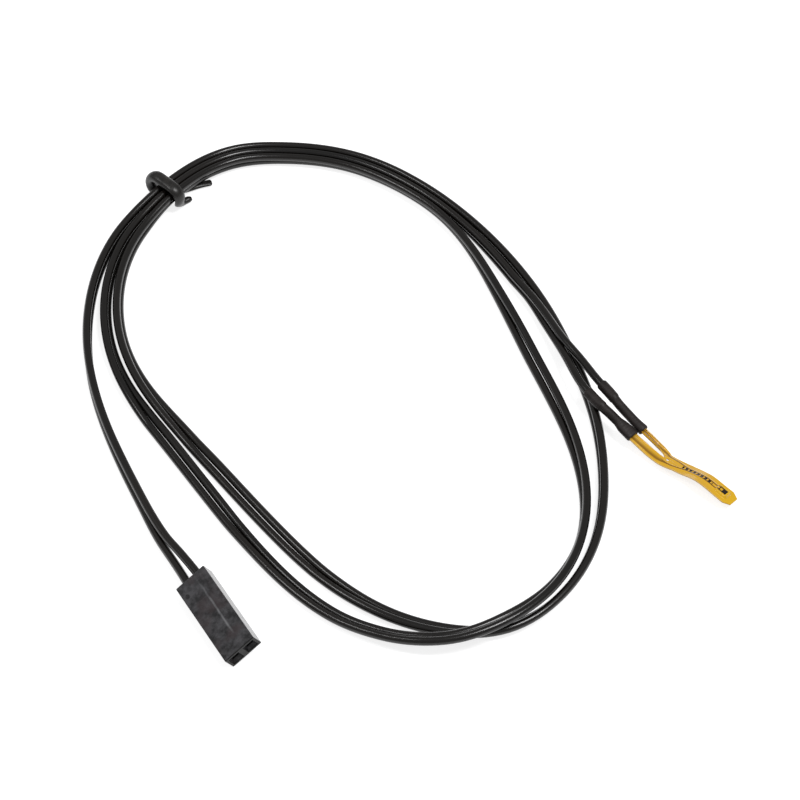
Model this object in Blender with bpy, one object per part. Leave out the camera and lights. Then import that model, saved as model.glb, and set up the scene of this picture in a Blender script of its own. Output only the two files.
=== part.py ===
# Film temperature sensor on a coiled twin lead that ends in a two-way crimp plug.
# Sizes are in metres. Rows of places are in millimetres, as the note above each one says.

import math

import bmesh
import bpy
import numpy as np
from mathutils import Matrix, Vector

MM = 0.001

# Where the part's origin lies on the table, in the frame that the rows of places use:
# +X to the right, +Y away, +Z up, with the table at height 0.
ORIGIN_X = 0.037541
ORIGIN_Y = -0.009953

# Twin lead: two round insulated wires that run side by side
WIRE_DIAMETER = 0.00124
WIRE_GAP = 0.00006
LANE_GAP = 0.0001
CORE_DIAMETER = 0.00046
TABLE_GAP = 0.00001

# Plug: a moulded two-way housing with a crimp terminal in each cavity
CONTACT_PITCH = 0.00254
PLUG_LENGTH = 0.0140
PLUG_WIDTH = 0.00508
PLUG_HEIGHT = 0.00254
PLUG_EDGE = 0.00012
CAVITY_SIZE = 0.00188
FRONT_WALL = 0.0008
MOUTH_SIZE = 0.00105
LEAD_IN_SIZE = 0.00180
LEAD_IN_DEPTH = 0.00055
LATCH_LENGTH = 0.0030
LATCH_WIDTH = 0.0009
LATCH_SLOT = 0.00026
LATCH_SETBACK = 0.0030
GATE_MARK = 0.0006
GATE_MARK_DEPTH = 0.0001
GATE_MARK_FROM_REAR = 0.0022
GATE_MARK_FROM_SIDE = 0.0008
RELIEF_DEPTH = 0.00015
RELIEF_LENGTH = 0.0032
RELIEF_SETBACK = 0.0004
PLUG_X = -0.02476
PLUG_Y = -0.04026
PLUG_HEADING = -58.06
PLUG_ROLL = 27.8
CAVITY_WIRE_GAP = 0.00003

# Crimp terminals: one folded strip each
SHEET = 0.00018
TERMINAL_CLEARANCE = 0.0001
SOCKET_LENGTH = 0.0053
SOCKET_NOSE = 0.0004
CRIMP_CLEARANCE = 0.00005
CRIMP_GAP = 0.0007
CRIMP_FOLD = 0.0001
CORE_CRIMP_LENGTH = 0.0016
WIRE_CRIMP_LENGTH = 0.0017

# Film head: two polyimide films with the leads and the chip between them
FILM_WIDTH = 0.0035
FILM_LENGTH = 0.0224
FILM_SHEET = 0.00006
FILM_GAP = 0.00003
FILM_FOLD = 0.00025
FILM_FOLD_START = 0.00012
SLOT_WIDTH = 0.0002
SLOT_END = 0.0054
SLOT_POINT = 0.0009
TIP_CHAMFER_LENGTH = 0.0011
TIP_CHAMFER_WIDTH = 0.00075
RELIEF_HOLE = 0.0005
RELIEF_HOLE_SETBACK = 0.00045
LEAD_SHEET = 0.00008
LEAD_WIDE = 0.0006
LEAD_NARROW = 0.0002
LEAD_NARROWING = 0.0018
LEAD_PITCH = 0.0007
LEAD_SWING_START = 0.0013
LEAD_SWING = 0.0029
LEAD_STEP = 0.0006
CHIP_LENGTH = 0.0012
CHIP_WIDTH = 0.00095
CHIP_HEIGHT = 0.00022
CHIP_EDGE = 0.00004
CHIP_SETBACK = 0.0016
CHIP_LAP = 0.0005

# Joints under the shrink sleeves, all between each wire's end and the film's legs
SLEEVE_LENGTH = 0.0097
SLEEVE_WALL = 0.00018
SLEEVE_BORE_GAP = 0.00003
SLEEVE_STEP_SETBACK = 0.0003
SLEEVE_STEP = 0.0004
LEG_ROLL = 0.000455
JOINT_SETBACK = 0.00047
WIRE_IN_SLEEVE = 0.0028
CORE_STRIPPED = 0.0018
JOINT_GAP = 0.00002
SOLDER_LENGTH = 0.0010
SOLDER_WALL = 0.00011
LEAD_TAIL = 0.0017

# Tie: one soft round cord, pressed flat where it is pulled tight
TIE_LIFT = 0.00115
TIE_X = -0.03685
TIE_Y = 0.04171
TIE_HEADING = 51.0
TIE_END_SLANT = 0.75


def clear_scene():
    for item in list(bpy.data.objects):
        bpy.data.objects.remove(item, do_unlink=True)


def make_material(name, colour, roughness, metallic=0.0):
    material = bpy.data.materials.new(name)
    material.use_nodes = True
    shader = material.node_tree.nodes["Principled BSDF"]
    shader.inputs["Base Color"].default_value = (*colour, 1.0)
    shader.inputs["Roughness"].default_value = roughness
    shader.inputs["Metallic"].default_value = metallic
    material.diffuse_color = (*colour, 1.0)
    return material


def add_mesh(name, points, faces, material, sharp=40.0):
    mesh = bpy.data.meshes.new(name)
    mesh.from_pydata([tuple(point) for point in points], [], faces)
    shape = bmesh.new()
    shape.from_mesh(mesh)
    bmesh.ops.recalc_face_normals(shape, faces=shape.faces)
    shape.to_mesh(mesh)
    shape.free()
    mesh.shade_smooth()
    mesh.set_sharp_from_angle(angle=math.radians(sharp))
    mesh.materials.append(material)
    item = bpy.data.objects.new(name, mesh)
    bpy.context.scene.collection.objects.link(item)
    return item


def loft(name, rings, material, sharp=40.0):
    # A solid through rings of points, with a flat cap at each end
    rings = np.asarray(rings)
    rows, sides = rings.shape[:2]
    faces = []
    for row in range(rows - 1):
        for side in range(sides):
            after = (side + 1) % sides
            faces.append((row * sides + side, row * sides + after,
                          (row + 1) * sides + after, (row + 1) * sides + side))
    faces.append(tuple(range(sides)))
    faces.append(tuple((rows - 1) * sides + side for side in range(sides)))
    return add_mesh(name, rings.reshape(-1, 3), faces, material, sharp)


def loft_tube(name, outer, inner, material, sharp=40.0):
    # A hollow tube: the outer rings one way, then the inner rings back
    rings = np.concatenate([np.asarray(outer), np.asarray(inner)[::-1]])
    rows, sides = rings.shape[:2]
    faces = []
    for row in range(rows):
        below = (row + 1) % rows
        for side in range(sides):
            after = (side + 1) % sides
            faces.append((row * sides + side, row * sides + after,
                          below * sides + after, below * sides + side))
    return add_mesh(name, rings.reshape(-1, 3), faces, material, sharp)


class Route:
    # A smooth curve through points: cubic pieces that share slope and curvature where they meet
    def __init__(self, points, knots=None):
        self.points = np.array(points, dtype=float)
        if knots is None:
            steps = np.linalg.norm(np.diff(self.points[:, :3], axis=0), axis=1)
            knots = np.concatenate([[0.0], np.cumsum(steps)])
        self.knots = np.array(knots, dtype=float)
        steps = np.diff(self.knots)
        count = len(self.points)
        system = np.eye(count)
        target = np.zeros_like(self.points)
        slopes = np.diff(self.points, axis=0) / steps[:, None]
        for row in range(1, count - 1):
            system[row, row - 1] = steps[row - 1]
            system[row, row] = 2.0 * (steps[row - 1] + steps[row])
            system[row, row + 1] = steps[row]
            target[row] = 6.0 * (slopes[row] - slopes[row - 1])
        self.bends = np.linalg.solve(system, target)

    def at(self, knot):
        piece = int(np.clip(np.searchsorted(self.knots, knot, side="right") - 1, 0, len(self.knots) - 2))
        step = self.knots[piece + 1] - self.knots[piece]
        ahead = knot - self.knots[piece]
        behind = self.knots[piece + 1] - knot
        first, last = self.points[piece], self.points[piece + 1]
        bend_first, bend_last = self.bends[piece], self.bends[piece + 1]
        place = (bend_first * behind ** 3 + bend_last * ahead ** 3) / (6.0 * step)
        place = place + (first / step - bend_first * step / 6.0) * behind
        place = place + (last / step - bend_last * step / 6.0) * ahead
        slope = (bend_last * ahead ** 2 - bend_first * behind ** 2) / (2.0 * step)
        slope = slope + (last - first) / step - (bend_last - bend_first) * step / 6.0
        return place, slope


def unit(vector):
    return vector / np.linalg.norm(vector)


def ease(amount):
    amount = min(max(amount, 0.0), 1.0)
    return amount * amount * (3.0 - 2.0 * amount)


UP = np.array([0.0, 0.0, 1.0])
WIRE_RADIUS = WIRE_DIAMETER / 2.0
CORE_RADIUS = CORE_DIAMETER / 2.0
WIRE_PITCH = WIRE_DIAMETER + WIRE_GAP
LANE_PITCH = WIRE_DIAMETER + LANE_GAP
SIDES = {"a": 1.0, "b": -1.0}


def table_point(x, y, z):
    # Millimetres on the table to metres in the part's frame
    return np.array([x * MM - ORIGIN_X, y * MM - ORIGIN_Y, z * MM])


# Plug frame: along the plug towards its mouths, across it and up through its flat top.
# It lies tipped on the long lower edge of its left side.
PLUG_ANGLE = math.radians(PLUG_HEADING)
PLUG_TIP = math.radians(PLUG_ROLL)
PLUG_AHEAD = np.array([math.cos(PLUG_ANGLE), math.sin(PLUG_ANGLE), 0.0])
PLUG_LEVEL = np.array([-math.sin(PLUG_ANGLE), math.cos(PLUG_ANGLE), 0.0])
PLUG_ACROSS = PLUG_LEVEL * math.cos(PLUG_TIP) + UP * math.sin(PLUG_TIP)
PLUG_TOP = UP * math.cos(PLUG_TIP) - PLUG_LEVEL * math.sin(PLUG_TIP)
PLUG_CENTRE_HEIGHT = (PLUG_WIDTH / 2.0 * math.sin(PLUG_TIP) + PLUG_HEIGHT / 2.0 * math.cos(PLUG_TIP)
                      - PLUG_EDGE * 0.3)
PLUG_CENTRE = np.array([PLUG_X - ORIGIN_X, PLUG_Y - ORIGIN_Y, PLUG_CENTRE_HEIGHT])


def plug_point(ahead, across, top):
    return PLUG_CENTRE + PLUG_AHEAD * ahead + PLUG_ACROSS * across + PLUG_TOP * top


# Stations along the plug, measured from its middle
PLUG_REAR = -PLUG_LENGTH / 2.0
PLUG_FRONT = PLUG_LENGTH / 2.0
SOCKET_FRONT = PLUG_FRONT - FRONT_WALL - TERMINAL_CLEARANCE * 2.0
SOCKET_REAR = SOCKET_FRONT - SOCKET_LENGTH
CORE_CRIMP_FRONT = SOCKET_REAR - CRIMP_GAP
CORE_CRIMP_REAR = CORE_CRIMP_FRONT - CORE_CRIMP_LENGTH
WIRE_CRIMP_FRONT = CORE_CRIMP_REAR - CRIMP_GAP
WIRE_CRIMP_REAR = WIRE_CRIMP_FRONT - WIRE_CRIMP_LENGTH
WIRE_END_IN_PLUG = WIRE_CRIMP_FRONT + CRIMP_GAP * 0.3
CORE_END_IN_PLUG = CORE_CRIMP_FRONT + CRIMP_GAP * 0.4

# Film head. Its middle line is the top surface of the lower film, from the sleeves to the tip.
# Rows: x, y, z in millimetres.
HEAD_LINE = [
    (28.72, -0.67, 3.00),
    (30.41, -3.01, 2.76),
    (32.23, -5.20, 2.26),
    (34.67, -8.05, 1.70),
    (36.48, -9.82, 1.20),
    (38.50, -11.90, 0.95),
    (39.53, -12.81, 0.95),
    (41.81, -14.43, 1.10),
    (43.77, -16.34, 1.75),
    (45.31, -17.79, 1.50),
    (47.58, -19.83, 0.96),
]
HEAD_START_ROW = 3
HEAD = Route([table_point(*row) for row in HEAD_LINE])
HEAD_ZERO = HEAD.knots[HEAD_START_ROW]
TIP = HEAD.knots[-1] - HEAD_ZERO
FILM_START = TIP - FILM_LENGTH
LEG_CENTRE = (FILM_WIDTH + SLOT_WIDTH) / 4.0
LEAD_START = FILM_START - LEAD_TAIL
CORE_END = FILM_START - JOINT_SETBACK
WIRE_END = CORE_END - CORE_STRIPPED
SLEEVE_START = WIRE_END - WIRE_IN_SLEEVE
SLEEVE_END = SLEEVE_START + SLEEVE_LENGTH
NECK_RADIUS = LEG_ROLL + FILM_SHEET + SLEEVE_BORE_GAP

# Half of the distance between the two sleeves, by place along the head, in millimetres
SPREAD_ROWS = [(-9.7, 1.30), (-6.7, 1.24), (-5.2, 1.10), (-3.8, 1.05), (-1.0, 0.965), (0.6, 0.94), (2.6, 0.93)]
SPREAD = Route([[half * MM] for _, half in SPREAD_ROWS] + [[LEG_CENTRE]],
               [along * MM for along, _ in SPREAD_ROWS] + [SLOT_END])

# How tightly each leg is rolled up, as a share of its full roll in the sleeve. The first row of
# each list lies that many millimetres inside the sleeve, the others at shares of the free leg.
# Leg a stays a trough up to the slot's end, leg b lies nearly flat from its sleeve on.
ROLL_INSIDE = {"a": 0.0, "b": 3.4}
ROLL_ROWS = {
    "a": [(0.0, 1.0), (0.5, 0.97), (0.7, 0.85), (0.86, 0.5), (1.0, 0.0)],
    "b": [(0.0, 0.32), (0.48, 0.14), (0.82, 0.045), (1.0, 0.0)],
}

# How far each half of the head is banked down towards side a, by place along it in millimetres
BANK_ROWS = {
    "a": [(0.5, 0.0), (3.0, 18.0), (5.4, 28.0), (7.5, 24.0), (12.0, 22.0), (17.5, 19.0)],
    "b": [(3.0, 0.0), (5.4, 8.0), (7.5, 22.0), (12.0, 22.0), (17.5, 19.0)],
}


def curl(side_name, along):
    rows = ROLL_ROWS[side_name]
    places = [SLEEVE_END - ROLL_INSIDE[side_name] * MM]
    places += [SLEEVE_END + (SLOT_END - SLEEVE_END) * share for share, _ in rows]
    return np.interp(along, places, [1.0] + [value for _, value in rows]) / LEG_ROLL


def head_frame(side_name, along):
    place, slope = HEAD.at(along + HEAD_ZERO)
    ahead = unit(slope)
    across = unit(np.cross(UP, ahead))
    top = np.cross(ahead, across)
    rows = BANK_ROWS[side_name]
    bank = math.radians(np.interp(along, [row[0] * MM for row in rows], [row[1] for row in rows]))
    tipped_across = across * math.cos(bank) - top * math.sin(bank)
    tipped_top = top * math.cos(bank) + across * math.sin(bank)
    return place, tipped_across, tipped_top


def leg_point(side_name, along, across, rise):
    # A point beside the middle of one leg or sleeve
    place, side_way, top = head_frame(side_name, along)
    half = LEG_CENTRE if along >= SLOT_END else SPREAD.at(max(along, SPREAD.knots[0]))[0][0]
    return place + side_way * (SIDES[side_name] * half + across) + top * rise


def film_point(side_name, along, across, height):
    # A point of the flat pattern, rolled up with its leg
    offset = across - SIDES[side_name] * LEG_CENTRE
    bend = curl(side_name, along)
    if bend * FILM_WIDTH < 0.01:
        return leg_point(side_name, along, offset, height)
    radius = 1.0 / bend - height
    turn = offset * bend
    return leg_point(side_name, along, radius * math.sin(turn), 1.0 / bend - radius * math.cos(turn))


# Lead route. Rows of x, y, lift off the table in millimetres, roll of the pair in degrees, the
# extra gap between the two wires in millimetres, and how many straight pieces of tube follow.
# The roll lifts wire a outwards and up round wire b.
FIRST_RISE = [
    (-31.1, -30.1, 0.72, 139, 0.3, 1),
    (-33.3, -26.7, 0.28, 124, 0.08, 1),
    (-36.6, -20.4, 0.1, 108, 0.0, 1),
    (-39.7, -13.9, 0.0, 104, 0.0, 1),
    (-42.7, -7.0, 0.0, 98, 0.0, 1),
    (-45.4, 0.9, 0.0, 95, 0.0, 2),
    (-47.55, 14.35, 0.0, 84, 0.0, 3),
]
OUTER_TURN = [
    (18.7, 24.7, 0.0, 92, 0.0, 1),
    (22.8, 16.1, 0.0, 87, 0.0, 1),
    (25.8, 7.3, 0.0, 80, 0.0, 1),
    (27.85, -0.1, 0.0, 82, 0.0, 2),
    (29.25, -14.3, 0.0, 82, 0.0, 1),
    (27.6, -26.35, 0.0, 78, 0.0, 1),
    (22.7, -35.6, 0.0, 70, 0.0, 1),
    (14.55, -41.45, 0.0, 45, 0.0, 1),
    (5.7, -41.6, 0.0, 28, 0.0, 1),
    (-2.9, -38.35, 0.0, 23, 0.0, 1),
    (-9.25, -33.7, 0.0, 6, 0.0, 2),
    (-18.3, -24.0, 0.0, -15, 0.0, 1),
    (-25.05, -15.5, 0.0, -18, 0.0, 1),
    (-32.5, -5.9, 0.0, 14, 0.0, 1),
    (-37.55, 1.05, 0.0, 41, 0.0, 1),
    (-42.0, 10.9, 0.0, 65, 0.0, 3),
]
INNER_TURN = [
    (14.75, 21.35, 0.0, 74, 0.0, 1),
    (17.65, 13.8, 0.0, 48, 0.0, 1),
    (20.3, 6.6, 0.0, 25, 0.0, 2),
    (26.0, -12.95, 0.0, 63, 0.0, 1),
    (25.75, -25.2, 0.2, 81, 0.0, 1),
    (21.3, -35.0, 1.3, 55, 0.0, 1),
    (13.75, -41.65, 2.2, 30, 0.0, 1),
    (6.1, -44.2, 1.8, 28, 0.0, 1),
    (-2.3, -42.7, 0.6, 26, 0.0, 1),
    (-9.3, -39.1, 0.0, 23, 0.0, 2),
    (-20.0, -28.4, 0.0, 14, 0.0, 1),
    (-27.5, -18.0, 0.0, -12, 0.0, 1),
    (-35.25, -6.65, 0.0, -5, 0.0, 2),
    (-40.3, 1.1, 0.0, 35, 0.0, 1),
    (-44.25, 11.55, 0.0, 64, 0.0, 3),
]
LAST_RUN = [(17.5, 23.65, 0.0, 92, 0.0, 1)]

# Tied stretch that every turn shares: x, y, lift, roll, extra gap between the turns, pieces
TIED_RUN = [
    (-42.0, 34.15, 0.3, 92, 0.2, 1),
    (TIE_X / MM, TIE_Y / MM, TIE_LIFT / MM, 110, -0.05, 2),
    (-27.3, 50.2, 0.3, 106, 0.0, 1),
    (-17.95, 51.55, 0.0, 114, 0.0, 1),
    (-8.45, 49.8, 0.0, 117, 0.0, 1),
    (-0.1, 45.25, 0.0, 117, 0.0, 1),
    (7.1, 38.7, 0.0, 110, 0.0, 2),
]

# Each wire's own way from the last shared row to its sleeve: x, y, z in millimetres
TAILS = {
    "a": [(20.15, 18.8, 2.5), (22.45, 14.0, 2.9), (24.6, 9.1, 3.36), (26.95, 5.2, 3.34)],
    "b": [(19.7, 19.75, 1.0), (21.4, 15.6, 1.35), (23.05, 11.1, 2.0), (24.9, 5.6, 2.95)],
}


class Steady:
    # Values that pass through their rows without swinging past them
    def __init__(self, knots, values):
        self.knots = np.array(knots, dtype=float)
        self.values = np.array(values, dtype=float)
        steps = np.diff(self.knots)
        slopes = np.diff(self.values, axis=0) / steps[:, None]
        self.slopes = np.zeros_like(self.values)
        before, after = slopes[:-1], slopes[1:]
        same = before * after > 0.0
        total = np.where(same, before + after, 1.0)
        self.slopes[1:-1] = np.where(same, 2.0 * before * after / total, 0.0)
        self.slopes[0], self.slopes[-1] = slopes[0], slopes[-1]

    def at(self, knot):
        piece = int(np.clip(np.searchsorted(self.knots, knot, side="right") - 1, 0, len(self.knots) - 2))
        step = self.knots[piece + 1] - self.knots[piece]
        share = (knot - self.knots[piece]) / step
        first, last = self.values[piece], self.values[piece + 1]
        rise = (1.0 + 2.0 * share) * (1.0 - share) ** 2 * first + share ** 2 * (3.0 - 2.0 * share) * last
        run = share * (1.0 - share) ** 2 * self.slopes[piece] - share ** 2 * (1.0 - share) * self.slopes[piece + 1]
        return rise + run * step


def lane_rows(lane):
    # The tied stretch for one turn: outer, middle and inner turns lie in lanes 1, 0 and -1
    guide = Route([row[:2] for row in [INNER_TURN[-1]] + TIED_RUN + LAST_RUN])
    rows = []
    for index, (x, y, lift, roll, gap, pieces) in enumerate(TIED_RUN):
        ahead = unit(guide.at(guide.knots[index + 1])[1])
        shift = lane * (LANE_PITCH / MM + gap)
        rows.append((x - ahead[1] * shift, y + ahead[0] * shift, lift, roll, 0.0, pieces))
    return rows


def plug_rows():
    # Each wire lies straight in its crimp and leaves the rear of its cavity close to the middle wall
    rows = []
    rear_pitch = CONTACT_PITCH - CAVITY_SIZE + CAVITY_WIRE_GAP * 2.0 + WIRE_DIAMETER
    stations = ((WIRE_END_IN_PLUG, CONTACT_PITCH), (WIRE_CRIMP_REAR, CONTACT_PITCH), (PLUG_REAR, rear_pitch))
    for ahead, pitch in stations:
        place = (plug_point(ahead, 0.0, 0.0) + [ORIGIN_X, ORIGIN_Y, 0.0]) / MM
        lift = PLUG_CENTRE_HEIGHT - WIRE_RADIUS - TABLE_GAP - pitch / 2.0 * math.sin(PLUG_TIP)
        rows.append((place[0], place[1], lift / MM, 180.0 - PLUG_ROLL, (pitch - WIRE_PITCH) / MM, 1))
    return rows


def pair_samples(rows, pieces):
    # Both wires' places along the shared rows
    line = Route([row[:2] for row in rows])
    setting = Steady(line.knots, [row[2:5] for row in rows])
    knots = []
    for first, last, count in zip(line.knots[:-1], line.knots[1:], pieces):
        knots.extend(first + (last - first) * part / count for part in range(count))
    knots.append(line.knots[-1])
    wires = {"a": [], "b": []}
    for knot in knots:
        (x, y), slope = line.at(knot)
        lift, roll, gap = setting.at(knot)
        ahead = unit(slope)
        outward = np.array([-ahead[1], ahead[0], 0.0])
        turn = math.radians(roll)
        half = (WIRE_PITCH + gap * MM) / 2.0
        height = WIRE_RADIUS + TABLE_GAP + half * abs(math.sin(turn)) + lift * MM
        for side_name, side in SIDES.items():
            reach = (outward * math.cos(turn) + UP * math.sin(turn)) * half * side
            wires[side_name].append(table_point(x, y, height / MM) + reach)
    return wires


def wire_places():
    # Each wire's places, from its end in the plug to its end in the sleeve
    rows = (plug_rows() + FIRST_RISE + lane_rows(1) + OUTER_TURN + lane_rows(-1) + INNER_TURN
            + lane_rows(0) + LAST_RUN)
    guide_end = (TAILS["a"][0][0], TAILS["a"][0][1], 0.0, 92, 0.0, 1)
    pieces = [row[5] for row in rows]
    shared = pair_samples(rows + [guide_end], pieces)
    shared_rows = 5
    places = {}
    for side_name in SIDES:
        start = shared[side_name][:-1]
        tail = [table_point(*row) for row in TAILS[side_name]]
        tail += [leg_point(side_name, along, 0.0, LEG_ROLL)
                 for along in (SLEEVE_START, (SLEEVE_START + WIRE_END) / 2.0, WIRE_END)]
        route = Route(start[-shared_rows:] + tail)
        joint = shared_rows - 1
        places[side_name] = start[:-1] + [route.at(knot)[0] for knot in route.knots[joint:]]
    return places


def make_wire(side_name, places, material):
    name = "wire_" + side_name
    curve = bpy.data.curves.new(name, "CURVE")
    curve.dimensions = "3D"
    curve.bevel_depth = WIRE_RADIUS
    curve.bevel_resolution = 2
    curve.use_fill_caps = True
    spline = curve.splines.new("POLY")
    spline.points.add(len(places) - 1)
    for point, place in zip(spline.points, places):
        point.co = (*place, 1.0)
    curve.materials.append(material)
    item = bpy.data.objects.new(name, curve)
    bpy.context.scene.collection.objects.link(item)
    return item


# Film head pieces
FILM_COLUMNS = 7
OVER_LEAD = FILM_GAP + LEAD_SHEET + JOINT_GAP
CHIP_TOP = FILM_GAP + CHIP_HEIGHT
CHIP_FRONT = TIP - CHIP_SETBACK
CHIP_REAR = CHIP_FRONT - CHIP_LENGTH
LEAD_END = CHIP_REAR + CHIP_LAP


def lead_centre(along):
    # The lead follows its leg, then swings in beside the other lead
    start = SLOT_END + LEAD_SWING_START
    return LEG_CENTRE + (LEAD_PITCH / 2.0 - LEG_CENTRE) * ease((along - start) / LEAD_SWING)


def lead_half(along):
    start = SLOT_END - SLOT_POINT
    return (LEAD_WIDE + (LEAD_NARROW - LEAD_WIDE) * ease((along - start) / LEAD_NARROWING)) / 2.0


def lead_height(along):
    # Underside of the lead, which steps up on to the chip
    step = CHIP_HEIGHT + JOINT_GAP
    return FILM_GAP + step * ease((along - CHIP_REAR + LEAD_STEP + CHIP_EDGE * 2.0) / LEAD_STEP)


def cover_height(along, across):
    # Underside of the upper film, pressed over the leads and the chip
    reach = abs(abs(across) - lead_centre(along)) - lead_half(along) - FILM_FOLD_START
    over_lead = (lead_height(along) + LEAD_SHEET + JOINT_GAP - FILM_GAP) * (1.0 - ease(reach / FILM_FOLD))
    if along > LEAD_END + FILM_FOLD:
        over_lead = 0.0
    beside = max(abs(across) - CHIP_WIDTH / 2.0, 0.0)
    beyond = max(along - CHIP_FRONT, CHIP_REAR - along, 0.0)
    chip = CHIP_HEIGHT + LEAD_SHEET + JOINT_GAP * 2.0
    over_chip = chip * (1.0 - ease((math.hypot(beside, beyond) - FILM_FOLD) / FILM_FOLD / 1.5))
    return FILM_GAP + max(over_lead, over_chip)


def film_stations():
    # Places of the cross sections: under the sleeves, the free legs, the joined film, chip and tip
    hidden = list(np.linspace(FILM_START, SLEEVE_END, 5)[:-1])
    legs = list(np.linspace(SLEEVE_END, SLOT_END - SLOT_POINT, 6)) + [SLOT_END]
    joined = list(np.linspace(SLOT_END, CHIP_REAR - LEAD_STEP - FILM_FOLD, 12)[1:])
    chip = [CHIP_REAR - FILM_FOLD * 2.0, CHIP_REAR - FILM_FOLD, CHIP_REAR + FILM_FOLD, CHIP_FRONT - FILM_FOLD,
            CHIP_FRONT + FILM_FOLD]
    return hidden + legs + joined + chip + list(np.linspace(chip[-1], TIP, 4)[1:])


def film_edges(along):
    # Inner edge of a leg, or 0 past the slot, and the outer edge with the tip's chamfer
    inner = SLOT_WIDTH / 2.0 * min(max((SLOT_END - along) / SLOT_POINT, 0.0), 1.0)
    cut = min(max((along - TIP + TIP_CHAMFER_LENGTH) / TIP_CHAMFER_LENGTH, 0.0), 1.0)
    return inner, FILM_WIDTH / 2.0 - TIP_CHAMFER_WIDTH * cut


def make_film(name, low, high, material):
    # One slit sheet: low and high give its two faces over the flat pattern
    stations = film_stations()
    keys = {}
    points = []

    def corner(row, side_name, column, layer):
        joined = column == 0 and stations[row] >= SLOT_END
        key = (row, "both" if joined else side_name, column, layer)
        if key not in keys:
            inner, outer = film_edges(stations[row])
            across = SIDES[side_name] * (inner + (outer - inner) * column / FILM_COLUMNS)
            face = high if layer else low
            keys[key] = len(points)
            points.append(film_point(side_name, stations[row], across, face(stations[row], across)))
        return keys[key]

    faces = []
    borders = {}
    for row in range(len(stations) - 1):
        for side_name in SIDES:
            for column in range(FILM_COLUMNS):
                spots = [(row, column), (row, column + 1), (row + 1, column + 1), (row + 1, column)]
                if side_name == "b":
                    spots.reverse()
                faces.append(tuple(corner(r, side_name, c, 1) for r, c in spots))
                faces.append(tuple(corner(r, side_name, c, 0) for r, c in reversed(spots)))
                tops = [corner(r, side_name, c, 1) for r, c in spots]
                lows = [corner(r, side_name, c, 0) for r, c in spots]
                for index in range(4):
                    after = (index + 1) % 4
                    edge = frozenset((tops[index], tops[after]))
                    wall = (tops[after], tops[index], lows[index], lows[after])
                    borders[edge] = None if edge in borders else wall
    faces.extend(wall for wall in borders.values() if wall)
    return add_mesh(name, points, faces, material, 30.0)


def cut_hole(item):
    # A small round hole just past the slot's end stops a tear
    middle, _, top_a = head_frame("a", SLOT_END + RELIEF_HOLE_SETBACK)
    _, _, top_b = head_frame("b", SLOT_END + RELIEF_HOLE_SETBACK)
    top = unit(top_a + top_b)
    shape = bmesh.new()
    bmesh.ops.create_cone(shape, cap_ends=True, segments=12, radius1=RELIEF_HOLE / 2.0,
                          radius2=RELIEF_HOLE / 2.0, depth=0.001)
    mesh = bpy.data.meshes.new(item.name + "_hole_cutter")
    shape.to_mesh(mesh)
    shape.free()
    cutter = bpy.data.objects.new(item.name + "_hole_cutter", mesh)
    cutter.matrix_world = Matrix.Translation(Vector(middle)) @ Vector(top).to_track_quat("Z", "Y").to_matrix().to_4x4()
    cut_with(item, cutter)


def cut_with(item, cutter):
    bpy.context.scene.collection.objects.link(cutter)
    cutter.hide_render = True
    cutter.display_type = "WIRE"
    step = item.modifiers.new("cut " + cutter.name, "BOOLEAN")
    step.operation = "DIFFERENCE"
    step.solver = "EXACT"
    step.object = cutter


def make_lead(side_name, material):
    side = SIDES[side_name]
    stations = [along for along in film_stations() if along < CHIP_REAR - CHIP_EDGE]
    stations = [LEAD_START, (LEAD_START + FILM_START) / 2.0] + stations + [CHIP_REAR + CHIP_EDGE, LEAD_END]
    rings = []
    for along in stations:
        centre = side * lead_centre(along)
        half = lead_half(along)
        low = lead_height(along)
        places = np.linspace(-1.0, 1.0, 5)
        ring = [film_point(side_name, along, centre + half * place, low) for place in places]
        ring += [film_point(side_name, along, centre + half * place, low + LEAD_SHEET) for place in places[::-1]]
        rings.append(ring)
    return loft("lead_" + side_name, rings, material)


def make_chip(material):
    # A small sawn block with softened edges
    edge = CHIP_EDGE
    rings = []
    for along, inset in ((CHIP_REAR, edge), (CHIP_REAR + edge, 0.0), (CHIP_FRONT - edge, 0.0), (CHIP_FRONT, edge)):
        wide = CHIP_WIDTH / 2.0 - inset
        low, high = FILM_GAP + inset, CHIP_TOP - inset
        outline = [(-wide + edge, low), (wide - edge, low), (wide, low + edge), (wide, high - edge),
                   (wide - edge, high), (-wide + edge, high), (-wide, high - edge), (-wide, low + edge)]
        rings.append([leg_point("a", along, across - LEG_CENTRE, height) for across, height in outline])
    return loft("thermistor_chip", rings, material)


# Under each sleeve the wire's strands lie on the lead's tail inside an arch of solder
CORE_RISE = FILM_GAP + LEAD_SHEET + JOINT_GAP + CORE_RADIUS
SOLDER_END = CORE_END - 0.0001
SOLDER_START = SOLDER_END - SOLDER_LENGTH


def core_rise(along):
    return LEG_ROLL + (CORE_RISE - LEG_ROLL) * ease((along - WIRE_END) / (SOLDER_START - WIRE_END))


def make_head_core(side_name, material):
    stations = np.linspace(WIRE_END + JOINT_GAP * 2.0, CORE_END, 7)
    rings = []
    for along in stations:
        turns = [2.0 * math.pi * step / 10 for step in range(10)]
        rings.append([leg_point(side_name, along, CORE_RADIUS * math.cos(turn),
                                core_rise(along) + CORE_RADIUS * math.sin(turn)) for turn in turns])
    return loft("core_" + side_name + "_head", rings, material)


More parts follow.
